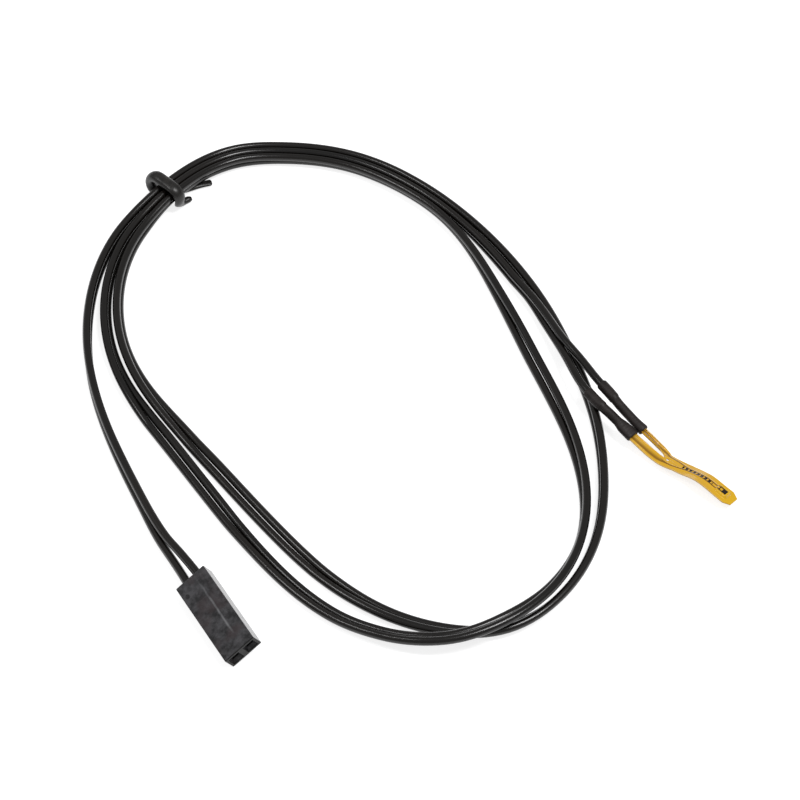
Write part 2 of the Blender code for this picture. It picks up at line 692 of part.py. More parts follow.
def make_solder(side_name, material):
    reach = math.radians(118.0)
    inner = CORE_RADIUS + JOINT_GAP
    rings = []
    for along in np.linspace(SOLDER_START, SOLDER_END, 6):
        share = (along - SOLDER_START) / SOLDER_LENGTH
        outer = inner + SOLDER_WALL * (0.35 + 0.65 * math.sin(math.pi * (0.12 + 0.76 * share)))
        turns = np.linspace(-reach, reach, 9)
        ring = [leg_point(side_name, along, outer * math.sin(turn), core_rise(along) + outer * math.cos(turn))
                for turn in turns]
        ring += [leg_point(side_name, along, inner * math.sin(turn), core_rise(along) + inner * math.cos(turn))
                 for turn in turns[::-1]]
        rings.append(ring)
    return loft("solder_" + side_name, rings, material)


# Shrink sleeves. Rows: place from the sleeve's mouth end in millimetres, inner half width, half
# height and height of the middle as shares of the neck's radius, and squareness.
SLEEVE_MOUTHS = {
    "a": [(-2.3, 1.0, 1.0, 0.835, 2.0), (0.15, 1.17, 1.02, 0.835, 2.2)],
    "b": [(-3.4, 1.0, 1.0, 0.835, 2.0), (-2.0, 1.48, 0.9, 0.75, 2.4), (-0.05, 1.56, 0.76, 0.6, 3.0)],
}


def sleeve_ring(side_name, along, half_wide, half_high, power, rise):
    ring = []
    for step in range(16):
        turn = 2.0 * math.pi * step / 16
        wide, high = math.cos(turn), math.sin(turn)
        reach = (abs(wide / half_wide) ** power + abs(high / half_high) ** power) ** (-1.0 / power)
        ring.append(leg_point(side_name, along, reach * wide, rise + reach * high))
    return ring


def make_sleeve(side_name, material):
    fat = WIRE_RADIUS + SLEEVE_BORE_GAP
    neck = NECK_RADIUS
    step = WIRE_END + SLEEVE_STEP_SETBACK
    mouth = SLEEVE_END + SLEEVE_MOUTHS[side_name][0][0] * MM
    rows = [(SLEEVE_START, fat, fat, 2.0, LEG_ROLL),
            ((SLEEVE_START + WIRE_END) / 2.0, fat, fat, 2.0, LEG_ROLL),
            (WIRE_END, fat, fat, 2.0, LEG_ROLL),
            (step, fat, fat, 2.0, LEG_ROLL),
            (step + SLEEVE_STEP, neck, neck, 2.0, LEG_ROLL),
            ((step + SLEEVE_STEP + mouth) / 2.0, neck, neck, 2.0, LEG_ROLL)]
    rows += [(SLEEVE_END + place * MM, wide * neck, high * neck, power, rise * neck)
             for place, wide, high, rise, power in SLEEVE_MOUTHS[side_name]]
    inner = [sleeve_ring(side_name, *row) for row in rows]
    outer = [sleeve_ring(side_name, along, wide + SLEEVE_WALL, high + SLEEVE_WALL, power, rise)
             for along, wide, high, power, rise in rows]
    return loft_tube("sleeve_" + side_name, outer, inner, material)


def plug_solid(name, layers):
    # A solid in the plug's frame through layers of corners, with a flat cap at each end
    layers = [[plug_point(*corner) for corner in layer] for layer in layers]
    sides = len(layers[0])
    faces = [tuple(range(sides)), tuple((len(layers) - 1) * sides + side for side in range(sides))]
    for row in range(len(layers) - 1):
        for side in range(sides):
            after = (side + 1) % sides
            faces.append((row * sides + side, row * sides + after, (row + 1) * sides + after,
                          (row + 1) * sides + side))
    mesh = bpy.data.meshes.new(name)
    mesh.from_pydata([tuple(point) for layer in layers for point in layer], [], faces)
    shape = bmesh.new()
    shape.from_mesh(mesh)
    bmesh.ops.recalc_face_normals(shape, faces=shape.faces)
    shape.to_mesh(mesh)
    shape.free()
    return bpy.data.objects.new(name, mesh)


def plug_section(ahead, centre, half_wide, half_high):
    return [(ahead, centre - half_wide, -half_high), (ahead, centre + half_wide, -half_high),
            (ahead, centre + half_wide, half_high), (ahead, centre - half_wide, half_high)]


def make_housing(material):
    wide, high = PLUG_WIDTH / 2.0, PLUG_HEIGHT / 2.0
    housing = plug_solid("plug_housing", [plug_section(PLUG_REAR, 0.0, wide, high),
                                          plug_section(PLUG_FRONT, 0.0, wide, high)])
    bpy.context.scene.collection.objects.link(housing)
    housing.data.materials.append(material)
    bevel = housing.modifiers.new("moulded edges", "BEVEL")
    bevel.width = PLUG_EDGE
    bevel.segments = 2
    bevel.limit_method = "ANGLE"
    past = SHEET
    cavity, mouth = CAVITY_SIZE / 2.0, MOUTH_SIZE / 2.0
    flare = mouth + (LEAD_IN_SIZE - MOUTH_SIZE) / 2.0 * (LEAD_IN_DEPTH + past) / LEAD_IN_DEPTH
    for side_name, side in SIDES.items():
        centre = side * CONTACT_PITCH / 2.0
        # Cavity from the rear, a smaller mouth through the front wall and a lead-in that flares out
        steps = [(PLUG_REAR - past, cavity), (PLUG_FRONT - FRONT_WALL, cavity), (PLUG_FRONT - FRONT_WALL, mouth),
                 (PLUG_FRONT - LEAD_IN_DEPTH, mouth), (PLUG_FRONT + past, flare)]
        cut_with(housing, plug_solid("cavity_" + side_name, [plug_section(ahead, centre, half, half)
                                                             for ahead, half in steps]))
        # A slot round three sides leaves a latch finger that springs behind the terminal's socket
        front = PLUG_FRONT - LATCH_SETBACK
        rear = front - LATCH_LENGTH
        inner = LATCH_WIDTH / 2.0
        outer = inner + LATCH_SLOT
        outline = [(front, -outer), (rear - LATCH_SLOT, -outer), (rear - LATCH_SLOT, outer), (front, outer),
                   (front, inner), (rear, inner), (rear, -inner), (front, -inner)]
        cut_with(housing, plug_solid("latch_" + side_name, [[(ahead, centre + across, top) for ahead, across in outline]
                                                            for top in (-high - past, -cavity + past)]))
    relief = PLUG_FRONT - LATCH_SETBACK - LATCH_LENGTH - LATCH_SLOT - RELIEF_SETBACK
    middle = -high + (RELIEF_DEPTH - past) / 2.0
    half_high = (RELIEF_DEPTH + past) / 2.0
    cut_with(housing, plug_solid("underside_relief", [
        [(ahead, across, middle + top) for _, across, top in plug_section(0.0, 0.0, wide + past, half_high)]
        for ahead in (relief - RELIEF_LENGTH, relief)]))
    turns = [2.0 * math.pi * step / 12 for step in range(12)]
    mark_x, mark_y = PLUG_REAR + GATE_MARK_FROM_REAR, -wide + GATE_MARK_FROM_SIDE
    cut_with(housing, plug_solid("gate_mark", [
        [(mark_x + GATE_MARK / 2.0 * math.cos(turn), mark_y + GATE_MARK / 2.0 * math.sin(turn), top) for turn in turns]
        for top in (high - GATE_MARK_DEPTH, high + past)]))
    return housing


def folded_ring(ahead, across, half_wide, half_high, power, reach_degrees):
    # Section of a folded strip: an open loop of sheet with its gap at the top
    reach = math.radians(reach_degrees)
    turns = np.linspace(-reach, reach, 15)
    ring = []
    for inset, order in ((0.0, turns), (SHEET, turns[::-1])):
        for turn in order:
            wide, low = math.sin(turn), -math.cos(turn)
            far = (abs(wide / (half_wide - inset)) ** power + abs(low / (half_high - inset)) ** power) ** (-1.0 / power)
            ring.append(plug_point(ahead, across + far * wide, far * low))
    return ring


def make_terminal(side_name, material):
    centre = SIDES[side_name] * CONTACT_PITCH / 2.0
    socket = CAVITY_SIZE / 2.0 - TERMINAL_CLEARANCE
    core_crimp = CORE_RADIUS + CRIMP_CLEARANCE + SHEET
    wire_crimp = WIRE_RADIUS + CRIMP_CLEARANCE + SHEET
    rows = [
        (SOCKET_FRONT, socket * 0.94, 6.0, 168.0),
        (SOCKET_FRONT - SOCKET_NOSE, socket, 6.0, 172.0),
        (SOCKET_REAR, socket, 6.0, 172.0),
        (SOCKET_REAR - CRIMP_FOLD, socket, 5.0, 80.0),
        (CORE_CRIMP_FRONT + CRIMP_FOLD, core_crimp * 1.25, 2.0, 90.0),
        (CORE_CRIMP_FRONT, core_crimp, 2.0, 166.0),
        (CORE_CRIMP_REAR, core_crimp, 2.0, 166.0),
        (CORE_CRIMP_REAR - CRIMP_FOLD, core_crimp * 1.1, 2.0, 80.0),
        (WIRE_END_IN_PLUG + CRIMP_FOLD * 2.0, wire_crimp, 2.0, 70.0),
        (WIRE_CRIMP_FRONT + CRIMP_FOLD, wire_crimp, 2.0, 80.0),
        (WIRE_CRIMP_FRONT, wire_crimp, 2.0, 158.0),
        (WIRE_CRIMP_REAR, wire_crimp, 2.0, 158.0),
    ]
    rings = [folded_ring(ahead, centre, half, half, power, reach) for ahead, half, power, reach in rows]
    return loft("terminal_" + side_name, rings, material)


def make_plug_core(side_name, material):
    centre = SIDES[side_name] * CONTACT_PITCH / 2.0
    rings = []
    for ahead in (WIRE_END_IN_PLUG + JOINT_GAP * 2.0, CORE_CRIMP_REAR, CORE_CRIMP_FRONT, CORE_END_IN_PLUG):
        turns = [2.0 * math.pi * step / 10 for step in range(10)]
        rings.append([plug_point(ahead, centre + CORE_RADIUS * math.cos(turn), CORE_RADIUS * math.sin(turn))
                      for turn in turns])
    return loft("core_" + side_name + "_plug", rings, material)


# Tie. Rows in the tie's own frame: outward from the bundle's middle, height, along the bundle,
# the way its width faces in degrees from outward, its width and its thickness, in millimetres.
TIE_ROWS = [
    (-2.60, 0.50, 7.00, 25, 1.40, 0.55),
    (-1.45, 0.50, 5.20, 28, 1.30, 0.75),
    (-0.60, 0.53, 3.50, 33, 1.30, 0.95),
    (0.45, 0.56, 1.80, 50, 1.50, 1.02),
    (1.70, 0.57, 0.35, 72, 1.70, 1.04),
    (3.05, 0.86, -0.30, 88, 1.80, 1.20),
    (3.70, 1.95, -0.35, 90, 1.95, 1.45),
    (3.55, 3.40, -0.30, 90, 2.05, 1.50),
    (2.50, 4.35, -0.30, 90, 2.15, 1.40),
    (0.90, 4.44, -0.40, 90, 2.20, 1.32),
    (-0.90, 4.42, -0.52, 90, 2.20, 1.30),
    (-2.30, 4.02, -0.60, 90, 2.15, 1.20),
    (-2.85, 2.90, -0.60, 90, 2.05, 1.15),
    (-2.50, 1.50, -0.45, 100, 1.75, 1.10),
    (-2.15, 0.72, 0.25, 140, 1.30, 1.05),
    (-2.25, 0.60, 1.20, 160, 1.15, 1.00),
    (-2.60, 0.60, 2.15, 150, 1.10, 1.00),
]


def make_tie(material):
    heading = math.radians(TIE_HEADING)
    along_way = np.array([math.cos(heading), math.sin(heading), 0.0])
    outward = np.array([-math.sin(heading), math.cos(heading), 0.0])
    middle = np.array([TIE_X - ORIGIN_X, TIE_Y - ORIGIN_Y, 0.0])
    rows = []
    for out, height, along, facing, width, thickness in TIE_ROWS:
        place = middle + outward * out * MM + along_way * along * MM + UP * height * MM
        rows.append([*place, facing, width * MM, thickness * MM])
    route = Route(rows)
    count = (len(rows) - 1) * 3
    knots = []
    for first, last in zip(route.knots[:-1], route.knots[1:]):
        knots.extend(first + (last - first) * part / 3.0 for part in range(3))
    knots.append(route.knots[-1])
    rings = []
    for index, knot in enumerate(knots):
        values, slope = route.at(knot)
        ahead = unit(slope[:3])
        facing = math.radians(values[3])
        wanted = outward * math.cos(facing) + along_way * math.sin(facing)
        wide = unit(wanted - ahead * np.dot(wanted, ahead))
        thick = np.cross(ahead, wide)
        soft = 0.82 if index in (0, count) else 1.0
        half_wide, half_thick = values[4] / 2.0 * soft, values[5] / 2.0 * soft
        # The long end is cut at a slant
        slant = wide - ahead * TIE_END_SLANT if index == 0 else wide
        turns = [2.0 * math.pi * step / 12 for step in range(12)]
        rings.append([values[:3] + slant * half_wide * math.cos(turn) + thick * half_thick * math.sin(turn)
                      for turn in turns])
    return loft("bundle_tie", rings, material, 60.0)


clear_scene()
lead_places = wire_places()
for side_name in SIDES:
    make_wire(side_name, lead_places[side_name], make_material("wire_" + side_name, (0.02, 0.02, 0.022), 0.38))
    make_head_core(side_name, make_material("core_" + side_name + "_head", (0.72, 0.70, 0.66), 0.35, 1.0))
    make_plug_core(side_name, make_material("core_" + side_name + "_plug", (0.72, 0.70, 0.66), 0.35, 1.0))
    make_terminal(side_name, make_material("terminal_" + side_name, (0.70, 0.68, 0.60), 0.3, 1.0))
    make_lead(side_name, make_material("lead_" + side_name, (0.45, 0.30, 0.16), 0.35, 1.0))
    make_solder(side_name, make_material("solder_" + side_name, (0.62, 0.62, 0.62), 0.3, 1.0))
    make_sleeve(side_name, make_material("sleeve_" + side_name, (0.03, 0.027, 0.026), 0.6))
make_housing(make_material("plug_housing", (0.055, 0.055, 0.06), 0.45))
for film, low, high in (
        ("film_bottom", lambda along, across: -FILM_SHEET, lambda along, across: 0.0),
        ("film_top", cover_height, lambda along, across: cover_height(along, across) + FILM_SHEET)):
    cut_hole(make_film(film, low, high, make_material(film, (0.80, 0.48, 0.03), 0.3)))
make_chip(make_material("thermistor_chip", (0.10, 0.07, 0.05), 0.5))
make_tie(make_material("bundle_tie", (0.022, 0.022, 0.022), 0.55))
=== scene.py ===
# Looks of a film temperature sensor: yellow film head, shrink sleeves, tied twin lead, crimp plug.
# Rows of places, the plug and the film's look are in millimetres. Other sizes are in metres.
import math

import bpy
import numpy as np
from mathutils import Matrix, Vector


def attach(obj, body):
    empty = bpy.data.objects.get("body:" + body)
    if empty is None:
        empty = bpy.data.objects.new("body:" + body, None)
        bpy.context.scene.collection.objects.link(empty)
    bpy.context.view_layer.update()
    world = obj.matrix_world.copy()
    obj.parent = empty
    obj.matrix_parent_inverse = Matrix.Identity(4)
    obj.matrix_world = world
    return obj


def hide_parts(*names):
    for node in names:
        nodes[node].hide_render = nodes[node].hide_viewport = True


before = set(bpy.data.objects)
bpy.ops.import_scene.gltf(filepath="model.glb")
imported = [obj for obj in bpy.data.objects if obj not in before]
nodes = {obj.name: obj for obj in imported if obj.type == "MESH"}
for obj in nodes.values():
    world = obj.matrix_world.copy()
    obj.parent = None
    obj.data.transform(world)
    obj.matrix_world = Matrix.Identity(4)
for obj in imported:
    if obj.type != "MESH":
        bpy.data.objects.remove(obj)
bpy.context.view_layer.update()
print("frame loaded with", len(nodes), "nodes")

mm = 0.001
tiny = 1e-9
up = np.array([0.0, 0.0, 1.0])
tableOrigin = np.array([37.541, -9.953, 0.0])  # the part's origin, in the rows' millimetres
sides = {"a": 1.0, "b": -1.0}


def tablePlaces(rows):
    # Millimetres on the table to metres in the part's frame
    return (np.asarray(rows, float) - tableOrigin) * mm


def unitRows(rows):
    return rows / np.linalg.norm(rows, axis=-1, keepdims=True)


def ease(share):
    # Smooth step from 0 to 1: 3 s squared less 2 s cubed
    share = np.clip(share, 0.0, 1.0)
    return share * share * (3.0 - 2.0 * share)


def cubicThrough(points, knots=None):
    # Natural cubic: its pieces share slope and curvature where they meet, and both ends are unbent
    points = np.asarray(points, float)
    if knots is None:
        knots = np.concatenate([[0.0], np.cumsum(np.linalg.norm(np.diff(points[:, :3], axis=0), axis=1))])
    knots = np.asarray(knots, float)
    steps = np.diff(knots)
    slopes = np.diff(points, axis=0) / steps[:, None]
    inside = np.arange(1, len(points) - 1)
    system = np.eye(len(points))
    system[inside, inside - 1] = steps[:-1]
    system[inside, inside] = 2.0 * (steps[:-1] + steps[1:])
    system[inside, inside + 1] = steps[1:]
    target = np.zeros_like(points)
    target[1:-1] = 6.0 * np.diff(slopes, axis=0)
    return {"points": points, "knots": knots, "bends": np.linalg.solve(system, target)}


def curveAt(curve, at):
    # Places and slopes at an array of knots: blends of each piece's two ends and their bends
    knots, points, bends = curve["knots"], curve["points"], curve["bends"]
    at = np.asarray(at, float)
    piece = np.clip(np.searchsorted(knots, at, side="right") - 1, 0, len(knots) - 2)
    step = (knots[piece + 1] - knots[piece])[:, None]
    ahead = (at - knots[piece])[:, None]
    behind = step - ahead
    first, last, bendFirst, bendLast = points[piece], points[piece + 1], bends[piece], bends[piece + 1]
    place = (bendFirst * behind ** 3 + bendLast * ahead ** 3) / (6.0 * step)
    place = place + (first / step - bendFirst * step / 6.0) * behind
    place = place + (last / step - bendLast * step / 6.0) * ahead
    slope = (bendLast * ahead ** 2 - bendFirst * behind ** 2) / (2.0 * step)
    slope = slope + (last - first) / step - (bendLast - bendFirst) * step / 6.0
    return place, slope


def steadyThrough(knots, values):
    # Passes through its rows without swinging past them: slopes are harmonic means of the two sides
    knots, values = np.asarray(knots, float), np.asarray(values, float)
    slopes = np.diff(values, axis=0) / np.diff(knots)[:, None]
    before, after = slopes[:-1], slopes[1:]
    same = before * after > 0.0
    middle = np.where(same, 2.0 * before * after / np.where(same, before + after, 1.0), 0.0)
    return {"knots": knots, "values": values, "slopes": np.concatenate([slopes[:1], middle, slopes[-1:]])}


def steadyAt(steady, at):
    # Cubic Hermite blend between neighbouring rows
    knots, values, slopes = steady["knots"], steady["values"], steady["slopes"]
    at = np.asarray(at, float)
    piece = np.clip(np.searchsorted(knots, at, side="right") - 1, 0, len(knots) - 2)
    step = (knots[piece + 1] - knots[piece])[:, None]
    share = (at[:, None] - knots[piece][:, None]) / step
    rise = (1.0 + 2.0 * share) * (1.0 - share) ** 2 * values[piece]
    rise = rise + share ** 2 * (3.0 - 2.0 * share) * values[piece + 1]
    run = share * (1.0 - share) ** 2 * slopes[piece] - share ** 2 * (1.0 - share) * slopes[piece + 1]
    return rise + run * step


# Meshes from grids

def gridQuads(rows, columns, closedAcross=False, closedAlong=False):
    # Corner numbers of a grid's quads, wrapped round either way where it is closed
    numbers = np.arange(rows * columns).reshape(rows, columns)
    if closedAcross:
        numbers = np.concatenate([numbers, numbers[:, :1]], axis=1)
    if closedAlong:
        numbers = np.concatenate([numbers, numbers[:1]], axis=0)
    corners = [numbers[:-1, :-1], numbers[:-1, 1:], numbers[1:, 1:], numbers[1:, :-1]]
    return np.stack(corners, axis=-1).reshape(-1, 4)


def makePiece(name, points, faces, material, replaced, pattern=None, sharp=40.0):
    # One shown piece at the origin, smooth where its faces meet gently
    mesh = bpy.data.meshes.new(name)
    mesh.from_pydata(points.reshape(-1, 3).tolist(), [], [list(face) for face in faces])
    mesh.update()
    if pattern is not None:
        layer = mesh.attributes.new("pattern", "FLOAT_VECTOR", "POINT")
        layer.data.foreach_set("vector", np.asarray(pattern, np.float32).reshape(-1))
    mesh.shade_smooth()
    mesh.set_sharp_from_angle(angle=math.radians(sharp))
    mesh.materials.append(material)
    piece = bpy.data.objects.new(name, mesh)
    bpy.context.scene.collection.objects.link(piece)
    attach(piece, "root")
    if replaced:
        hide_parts(*replaced)
    return piece


def loftFaces(rows, columns):
    # Quads round a stack of rings and a flat cap at each end
    faces = gridQuads(rows, columns, closedAcross=True).tolist()
    return faces + [list(range(columns))[::-1], list(range((rows - 1) * columns, rows * columns))]


def ringFrames(slopes):
    # Level sideways direction and the one that completes it, for rings square to a path
    ahead = unitRows(slopes)
    across = unitRows(np.cross(up, ahead))
    return ahead, across, np.cross(ahead, across)


# Materials

def linear(hexColour):
    # sRGB hex to linear colour
    parts = [int(hexColour[index:index + 2], 16) / 255.0 for index in (0, 2, 4)]
    lit = [part / 12.92 if part <= 0.04045 else ((part + 0.055) / 1.055) ** 2.4 for part in parts]
    return tuple(lit) + (1.0,)


def addNode(tree, kind, inputs=(), output=0, **settings):
    # One node with its settings; inputs by number or name, each a value or a socket to link from
    node = tree.nodes.new("ShaderNode" + kind)
    for name, value in settings.items():
        setattr(node, name, value)
    named = inputs if isinstance(inputs, dict) else dict(enumerate(inputs))
    for name, value in named.items():
        if isinstance(value, bpy.types.NodeSocket):
            tree.links.new(value, node.inputs[name])
        else:
            node.inputs[name].default_value = value
    return node.outputs[output]


def newMaterial(name, **values):
    # A Principled material; values are set on the shader's own sockets
    material = bpy.data.materials.new(name)
    material.use_nodes = True
    tree = material.node_tree
    shader = tree.nodes["Principled BSDF"]
    for key, value in values.items():
        shader.inputs[key.replace("_", " ")].default_value = value
    return material, tree, shader


# Camera, floor and light

studio = {
    "elevation": 50.0,          # degrees above the table
    "distance": 0.3303,
    "lens": 100.0,
    "sensor": 36.0,
    "worldLevel": 0.35,
    "floorHex": "C4C4C5",
    "floorHalf": 3.0,
    "floorGlow": 0.78,          # only for what the eye, a gloss or a clear piece sees
    "keyFrom": (0.36, -0.10, 0.93),
    "keyDistance": 0.8,
    "keySize": (0.15, 0.36),
    "keyPower": 3.6,
    "sideFrom": (-0.55, 0.02, 0.83),
    "sideDistance": 0.8,
    "sideSize": (0.12, 0.25),
    "sidePower": 1.1,
}


def makeCamera(look):
    lookAt = Vector(tablePlaces((0.0, 0.0, 0.0)).tolist())
    tilt = math.radians(look["elevation"])
    camera = bpy.data.objects.new("photoCamera", bpy.data.cameras.new("photoCamera"))
    camera.data.lens = look["lens"]
    camera.data.sensor_width = look["sensor"]
    camera.data.clip_start = 0.01
    away = Vector((0.0, -math.cos(tilt), math.sin(tilt)))
    camera.location = lookAt + away * look["distance"]
    camera.rotation_euler = (-away).to_track_quat("-Z", "Y").to_euler()
    bpy.context.scene.collection.objects.link(camera)
    bpy.context.scene.camera = camera
    return lookAt


def makeLamp(name, target, direction, distance, size, power):
    lamp = bpy.data.objects.new(name, bpy.data.lights.new(name, "AREA"))
    lamp.data.shape = "RECTANGLE"
    lamp.data.size, lamp.data.size_y = size
    lamp.data.energy = power
    way = Vector(direction).normalized()
    lamp.location = target + way * distance
    lamp.rotation_euler = way.to_track_quat("Z", "Y").to_euler()
    bpy.context.scene.collection.objects.link(lamp)


def makeFloor(look):
    # Painted floor with a glow that lifts it to white for the eye and leaves the light on the object alone
    material, tree, shader = newMaterial("paintedStudioFloor", Base_Color=linear(look["floorHex"]),
                                         Roughness=0.9, Specular_IOR_Level=0.0,
                                         Emission_Color=(1.0, 1.0, 1.0, 1.0))
    ray = addNode(tree, "LightPath").node.outputs
    seen = ray["Is Camera Ray"]
    for name in ("Is Glossy Ray", "Is Transmission Ray"):
        seen = addNode(tree, "Math", [seen, ray[name]], operation="MAXIMUM")
    glow = addNode(tree, "Math", [seen, look["floorGlow"]], operation="MULTIPLY")
    tree.links.new(glow, shader.inputs["Emission Strength"])
    mesh = bpy.data.meshes.new("studioFloor")
    half = look["floorHalf"]
    corners = [(-half, -half, 0.0), (half, -half, 0.0), (half, half, 0.0), (-half, half, 0.0)]
    mesh.from_pydata(corners, [], [(0, 1, 2, 3)])
    mesh.materials.append(material)
    floor = bpy.data.objects.new("studioFloor", mesh)
    bpy.context.scene.collection.objects.link(floor)


def makeStudio(look):
    target = makeCamera(look)
    for name in ("key", "side"):
        setting = [look[name + part] for part in ("From", "Distance", "Size", "Power")]
        makeLamp(name + "Light", target, *setting)
    world = bpy.data.worlds.new("plainStudio")
    bpy.context.scene.world = world
    world.use_nodes = True
    background = world.node_tree.nodes["Background"]
    background.inputs["Strength"].default_value = look["worldLevel"]
    background.inputs["Color"].default_value = (1.0, 1.0, 1.0, 1.0)
    makeFloor(look)
    bpy.context.scene.view_settings.view_transform = "Standard"


makeStudio(studio)
print("camera, floor and lights ready")


# Plug frame: along the plug towards its mouths, across it and up through its flat top

plug = {
    "x": -24.76,
    "y": -40.26,
    "heading": -58.06,
    "roll": 27.8,
    "length": 14.0,
    "width": 5.08,
    "height": 2.54,
    "edge": 0.12,
    "edgeSink": 0.3,            # the rounded lower edge lets the plug down by this share of the edge
    "contactPitch": 2.54,
}
plugHeading, plugRoll = math.radians(plug["heading"]), math.radians(plug["roll"])
plugAhead = np.array([math.cos(plugHeading), math.sin(plugHeading), 0.0])
plugLevel = np.array([-math.sin(plugHeading), math.cos(plugHeading), 0.0])
plugAcross = plugLevel * math.cos(plugRoll) + up * math.sin(plugRoll)
plugTop = up * math.cos(plugRoll) - plugLevel * math.sin(plugRoll)
plugCentreHeight = (plug["width"] / 2.0 * math.sin(plugRoll) + plug["height"] / 2.0 * math.cos(plugRoll)
                    - plug["edge"] * plug["edgeSink"])
plugCentre = tablePlaces((plug["x"], plug["y"], plugCentreHeight))

# Head line: the lower film's top surface from the far wire ends to the tip, sleeve mouths at headStart

headLine = [
    (28.72, -0.67, 3.00),
    (30.41, -3.01, 2.76),
    (32.23, -5.20, 2.26),
    (34.67, -8.05, 1.70),
    (36.48, -9.82, 1.20),
    (38.50, -11.90, 0.95),
    (39.53, -12.81, 0.95),
    (41.81, -14.43, 1.10),
    (43.77, -16.34, 1.75),
    (45.31, -17.79, 1.50),
    (47.58, -19.83, 0.96),
]
headCurve = cubicThrough(tablePlaces(headLine))
headStart = headCurve["knots"][3]
tip = headCurve["knots"][-1] - headStart

film = {
    "width": 0.0035,
    "length": 0.0224,
    "sheet": 0.00006,
    "gap": 0.00003,
    "fold": 0.00025,
    "foldStart": 0.00012,
    "chipFold": 1.5,            # the fold round the chip, in folds beside a lead
    "slotWidth": 0.0002,
    "slotEnd": 0.0054,
    "slotPoint": 0.0009,
    "chamferLength": 0.0011,
    "chamferWidth": 0.00075,
    "hole": 0.0005,
    "holeAt": 0.00585,
    "holeRing": 2.0,            # ring of the grid that lies on the hole's edge
    "outerRing": 9.0,           # first ring that the hole leaves square
    "flatBelow": 0.01,          # a leg that bends less than this across its width is flat
    "columns": 24,
    "rowStep": 0.000075,
}
leadFrame = {
    "sheet": 0.00008,
    "wide": 0.0006,
    "narrow": 0.0002,
    "narrowing": 0.0018,
    "pitch": 0.0007,
    "swingStart": 0.0013,
    "swing": 0.0029,
    "step": 0.0006,
}
chip = {
    "length": 0.0012,
    "width": 0.00095,
    "height": 0.00022,
    "edge": 0.00004,
    "setback": 0.0016,
    "lap": 0.0005,
}
jointGap = 0.00002
legCentre = (film["width"] + film["slotWidth"]) / 4.0
filmStart = tip - film["length"]
chipFront = tip - chip["setback"]
chipRear = chipFront - chip["length"]

sleeve = {
    "length": 0.0097,
    "wall": 0.00018,
    "boreGap": 0.00003,
    "stepSetback": 0.0003,
    "step": 0.0004,
    "legRoll": 0.000455,
    "jointSetback": 0.00047,
    "coreStripped": 0.0018,
    "wireInside": 0.0028,
    "sidesRound": 40,
    "rings": 110,
    "lipShare": 0.35,           # share of the wall that is left at its rounded ends
    "lipLength": 1.2,           # length of the rounding, in walls
}
wireEnd = filmStart - sleeve["jointSetback"] - sleeve["coreStripped"]
sleeveStart = wireEnd - sleeve["wireInside"]
sleeveEnd = sleeveStart + sleeve["length"]

# Half of the distance between the two sleeves, by place along the head, in millimetres
spreadRows = [(-9.7, 1.30), (-6.7, 1.24), (-5.2, 1.10), (-3.8, 1.05), (-1.0, 0.965), (0.6, 0.94), (2.6, 0.93)]
spreadCurve = cubicThrough([[half * mm] for _, half in spreadRows] + [[legCentre]],
                           [along * mm for along, _ in spreadRows] + [film["slotEnd"]])

# How tightly each leg is rolled up, as a share of its full roll. It starts to open inside the
# sleeve, at so many millimetres from the mouth, then come shares of the free leg.
rollInside = {"a": 0.0, "b": 3.4}
rollRows = {
    "a": [(0.0, 1.0), (0.5, 0.97), (0.7, 0.85), (0.86, 0.5), (1.0, 0.0)],
    "b": [(0.0, 0.32), (0.48, 0.14), (0.82, 0.045), (1.0, 0.0)],
}

# How far each half of the head is banked down towards side a, by place along it in millimetres
bankRows = {
    "a": [(0.5, 0.0), (3.0, 18.0), (5.4, 28.0), (7.5, 24.0), (12.0, 22.0), (17.5, 19.0)],
    "b": [(3.0, 0.0), (5.4, 8.0), (7.5, 22.0), (12.0, 22.0), (17.5, 19.0)],
}


def curlOf(sideName, along):
    rows = rollRows[sideName]
    places = [sleeveEnd - rollInside[sideName] * mm]
    places += [sleeveEnd + (film["slotEnd"] - sleeveEnd) * share for share, _ in rows]
    return np.interp(along, places, [1.0] + [value for _, value in rows]) / sleeve["legRoll"]


def headFrame(sideName, along):
    # Place on the head line with its sideways and upward directions, banked about the line
    place, slope = curveAt(headCurve, along + headStart)
    _, across, top = ringFrames(slope)
    rows = bankRows[sideName]
    bank = np.radians(np.interp(along, [row[0] * mm for row in rows], [row[1] for row in rows]))[:, None]
    return place, across * np.cos(bank) - top * np.sin(bank), top * np.cos(bank) + across * np.sin(bank)


def legPoints(sideName, along, across, rise):
    # Points beside the middle of one leg or sleeve; along, across and rise are arrays of one shape
    shape = np.shape(along)
    along, across, rise = (np.ravel(values) for values in np.broadcast_arrays(along, across, rise))
    place, sideWay, top = headFrame(sideName, along)
    spreadAt = curveAt(spreadCurve, np.maximum(along, spreadCurve["knots"][0]))[0][:, 0]
    half = np.where(along >= film["slotEnd"], legCentre, spreadAt)
    points = place + sideWay * (sides[sideName] * half + across)[:, None] + top * rise[:, None]
    return points.reshape(shape + (3,))


def filmPoints(sideName, along, across, height):
    # The flat pattern rolled up with its leg: a circle of the curl's radius, flat where it has none
    offset = across - sides[sideName] * legCentre
    bend = curlOf(sideName, along)
    flat = bend * film["width"] < film["flatBelow"]
    bend = np.where(flat, 1.0, bend)
    radius = 1.0 / bend - height
    sideways = np.where(flat, offset, radius * np.sin(offset * bend))
    rise = np.where(flat, height, 1.0 / bend - radius * np.cos(offset * bend))
    return legPoints(sideName, along, sideways, rise)


# Twin lead: both wires follow one hand-laid route and swap places as the pair rolls

